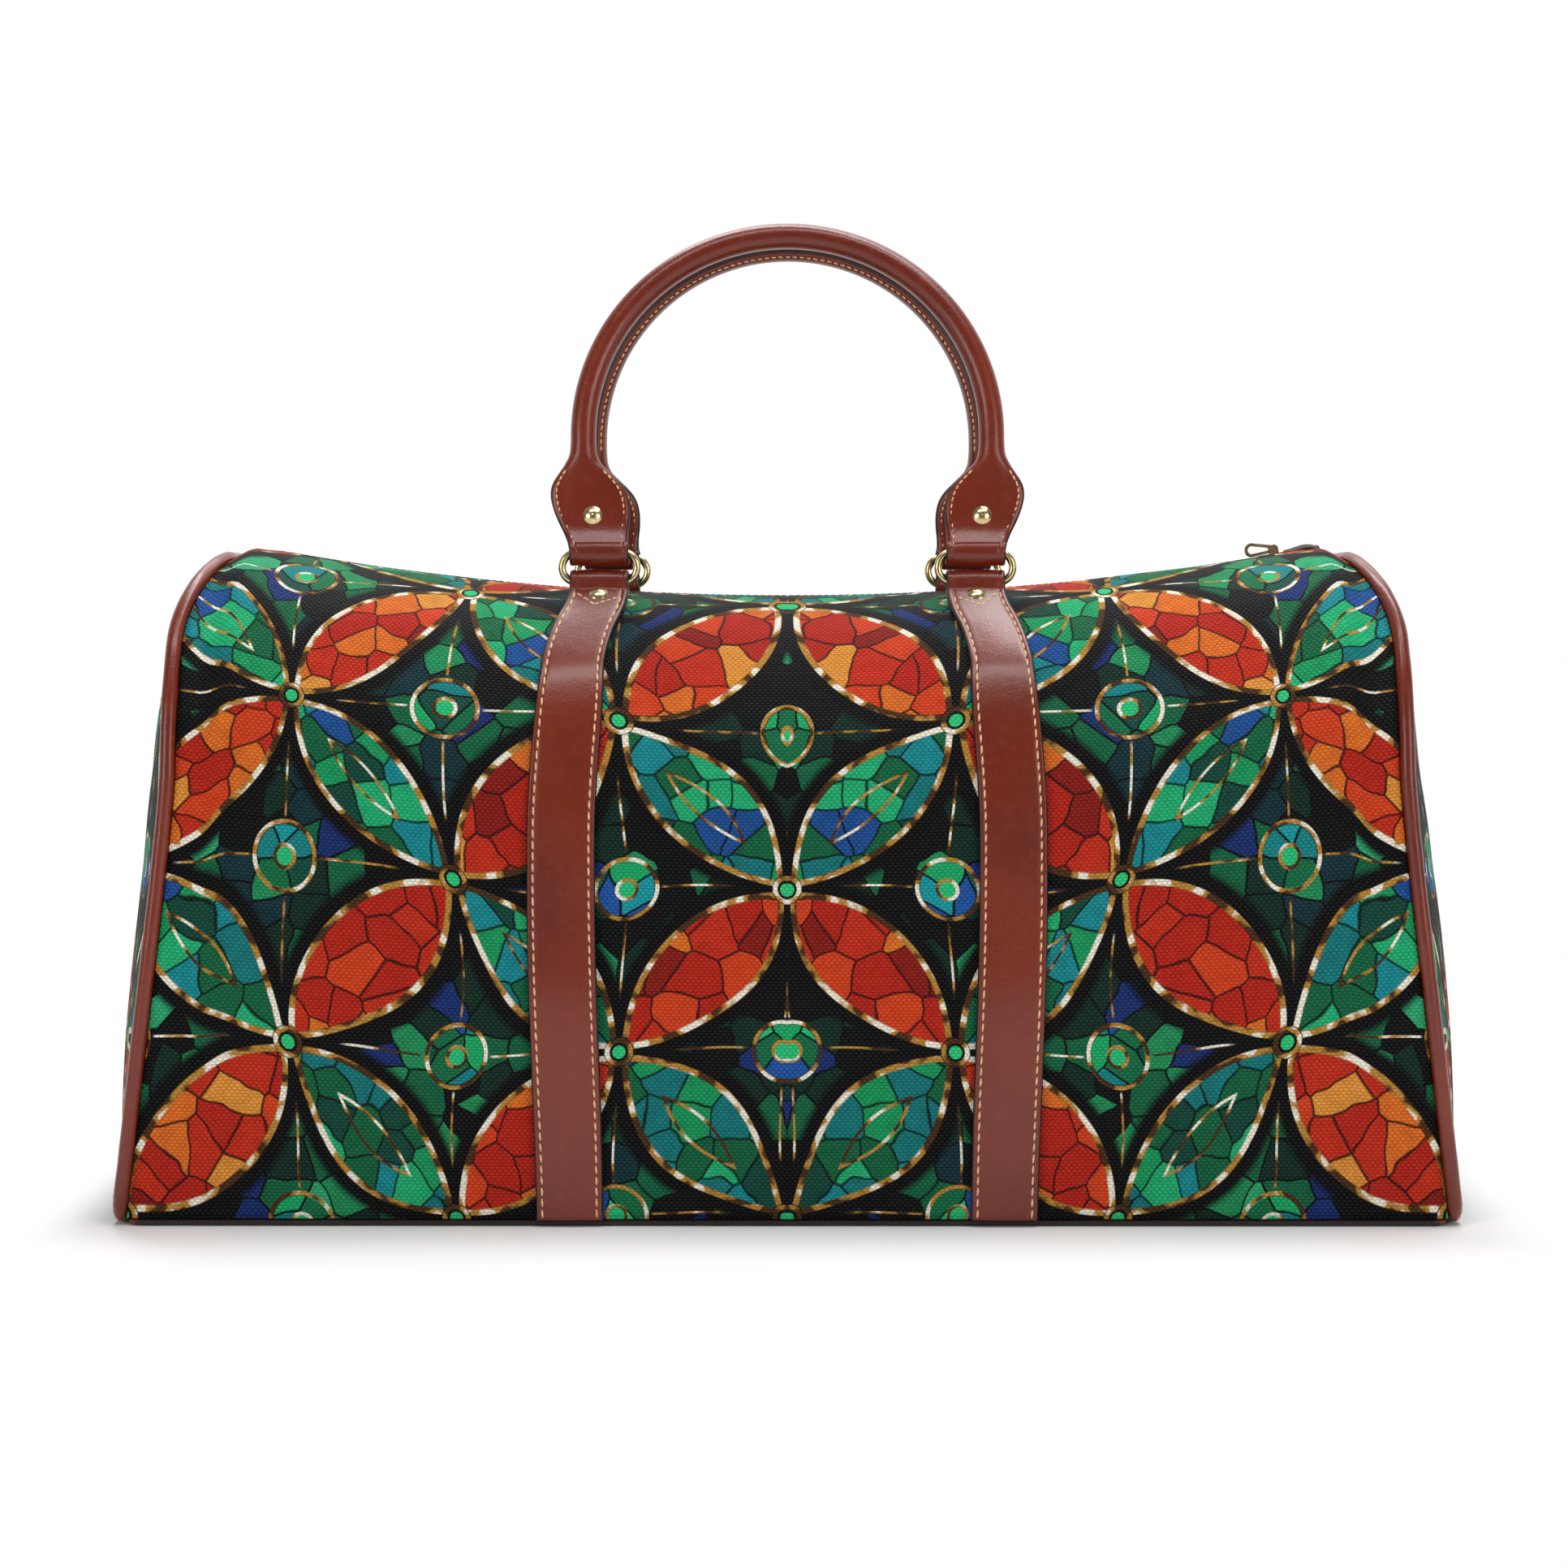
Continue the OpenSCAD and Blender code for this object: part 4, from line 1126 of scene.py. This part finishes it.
def stage():
    """Camera of the photo, a floor and room that look white, and five soft lamps."""
    scene = bpy.context.scene
    lens = bpy.data.cameras.new("camera")
    lens.sensor_width, lens.lens = SENSOR, FOCAL_PX / IMAGE_PX * SENSOR
    camera = bpy.data.objects.new("camera", lens)
    camera.location = (0.0026, -1.5, 0.2715)
    camera.rotation_euler = (math.pi / 2 - TILT_DOWN, 0, TURN_LEFT)
    scene.collection.objects.link(camera)
    scene.camera = camera
    scene.view_settings.view_transform = "Standard"

    floor = bmesh.new()
    bmesh.ops.create_grid(floor, x_segments=8, y_segments=8, size=4.0)
    data = bpy.data.meshes.new("floor")
    floor.to_mesh(data)
    floor.free()
    plane = bpy.data.objects.new("floor", data)
    plane.location.z = -0.0002
    scene.collection.objects.link(plane)
    f = Finish("white_floor", Roughness=0.9, Specular_IOR_Level=0.1)
    tint = f.cloud(f.space(), 6.0, 2.0)
    f.set(Base_Color=f.mix(tint, shade("#f8f8f8"), shade("#fcfcfc")))
    x, y, _ = f.parts(f.space())
    out_x = (x.size() - BASE_HALF * MM).most(0.0)
    out_y = (y.size() - DEPTH_HALF * MM).most(0.0)
    away = (out_x * out_x * 16.0 + out_y * out_y).root().ramp(0.02, 0.16)
    behind = y.ramp(-0.6, 0.1)
    seen = f.ray("Camera").most(f.ray("Glossy") * behind)
    bright = f.node("ShaderNodeEmission", None, {"Color": (1, 1, 1, 1), "Strength": 1.0})
    floor_look = f.node("ShaderNodeMixShader", None, {
        0: seen * away, 1: Value(f, f.shader.outputs[0]), 2: bright})
    f.feed(f.output.inputs[0], floor_look)
    data.materials.append(f.material)

    world = bpy.data.worlds.new("studio")
    scene.world = world
    world.use_nodes = True
    w = Wiring(world.node_tree, "ShaderNodeOutputWorld")
    back = w.parts(w.node("ShaderNodeTexCoord", out="Generated"))[1]
    backdrop = w.node("ShaderNodeMapRange", None, {"Value": back, "From Min": -0.1, "From Max": 0.5})
    seen = w.ray("Camera").most(w.ray("Transmission")).most(w.ray("Glossy") * backdrop)
    strength = w.node("ShaderNodeMapRange", None, {"Value": seen, "To Min": ROOM_LIGHT, "To Max": 1.0})
    sky = w.node("ShaderNodeBackground", None, {"Color": (1, 1, 1, 1), "Strength": strength})
    w.feed(w.output.inputs[0], sky)

    for name, place, aim, size, watts in (
            ("top_softbox", (0.1, 0.2, 1.65), (0, 0, 0.2), (1.6, 0.35), 20.0),
            ("front_softbox", (0.1, -0.69, 1.52), (0, -0.1, 0.25), (1.6, 0.2), 8.5),
            ("left_key", (-1.7, -1.8, 0.75), (0, 0, 0.2), (1.1, 1.1), 15.0),
            ("right_key", (1.7, -1.8, 0.75), (0, 0, 0.2), (1.1, 1.1), 15.0),
            ("back_light", (0.1, 1.05, 1.6), (0, 0, 0.25), (1.8, 0.5), 7.0)):
        lamp = bpy.data.lights.new(name, "AREA")
        lamp.shape, lamp.size, lamp.size_y, lamp.energy = "RECTANGLE", size[0], size[1], watts
        light = bpy.data.objects.new(name, lamp)
        light.location = place
        light.rotation_euler = (Vector(aim) - Vector(place)).to_track_quat("-Z", "Y").to_euler()
        scene.collection.objects.link(light)


# ---------------------------------------------------------------- the bag

stage()
wall("front_cloth", "front_panel", FRONT)
wall("back_cloth", "back_panel", HALF_TURN)
for side, sides in (("right", FRONT), ("left", HALF_TURN)):
    end_panel(side, sides)
    piping(side, sides)
    lining_end(side, sides)
base()
lining_wrap()
for name, sides in (
        ("front_right_strap", (1, 1)), ("front_left_strap", (-1, 1)),
        ("back_right_strap", (1, -1)), ("back_left_strap", (-1, -1))):
    strap(name, sides)
handle("front_handle", "front_handle", FRONT)
handle("back_handle", "back_handle", HALF_TURN)
for side, depth in (("front", 1), ("back", -1)):
    ring(side + "_right_ring", side + "_rings", (1, depth))
    ring(side + "_left_ring", side + "_rings", (-1, depth))
zip_tape("front_zip_tape", "zip_tape_front", FRONT)
zip_tape("back_zip_tape", "zip_tape_back", HALF_TURN)
zip_tail()

for material, names in (
        (GOLD, (
            "strap_rivets", "front_handle_rivets", "back_handle_rivets",
            "zip_slider", "zip_pull", "zip_stops")),
        (PLASTIC, ("zip_teeth_front", "zip_teeth_back")),
        (fibre_board(), ("base_board",)),
        (cotton_core(), ("front_handle_core", "back_handle_core"))):
    for name in names:
        nodes[name].data.materials.clear()
        nodes[name].data.materials.append(material)
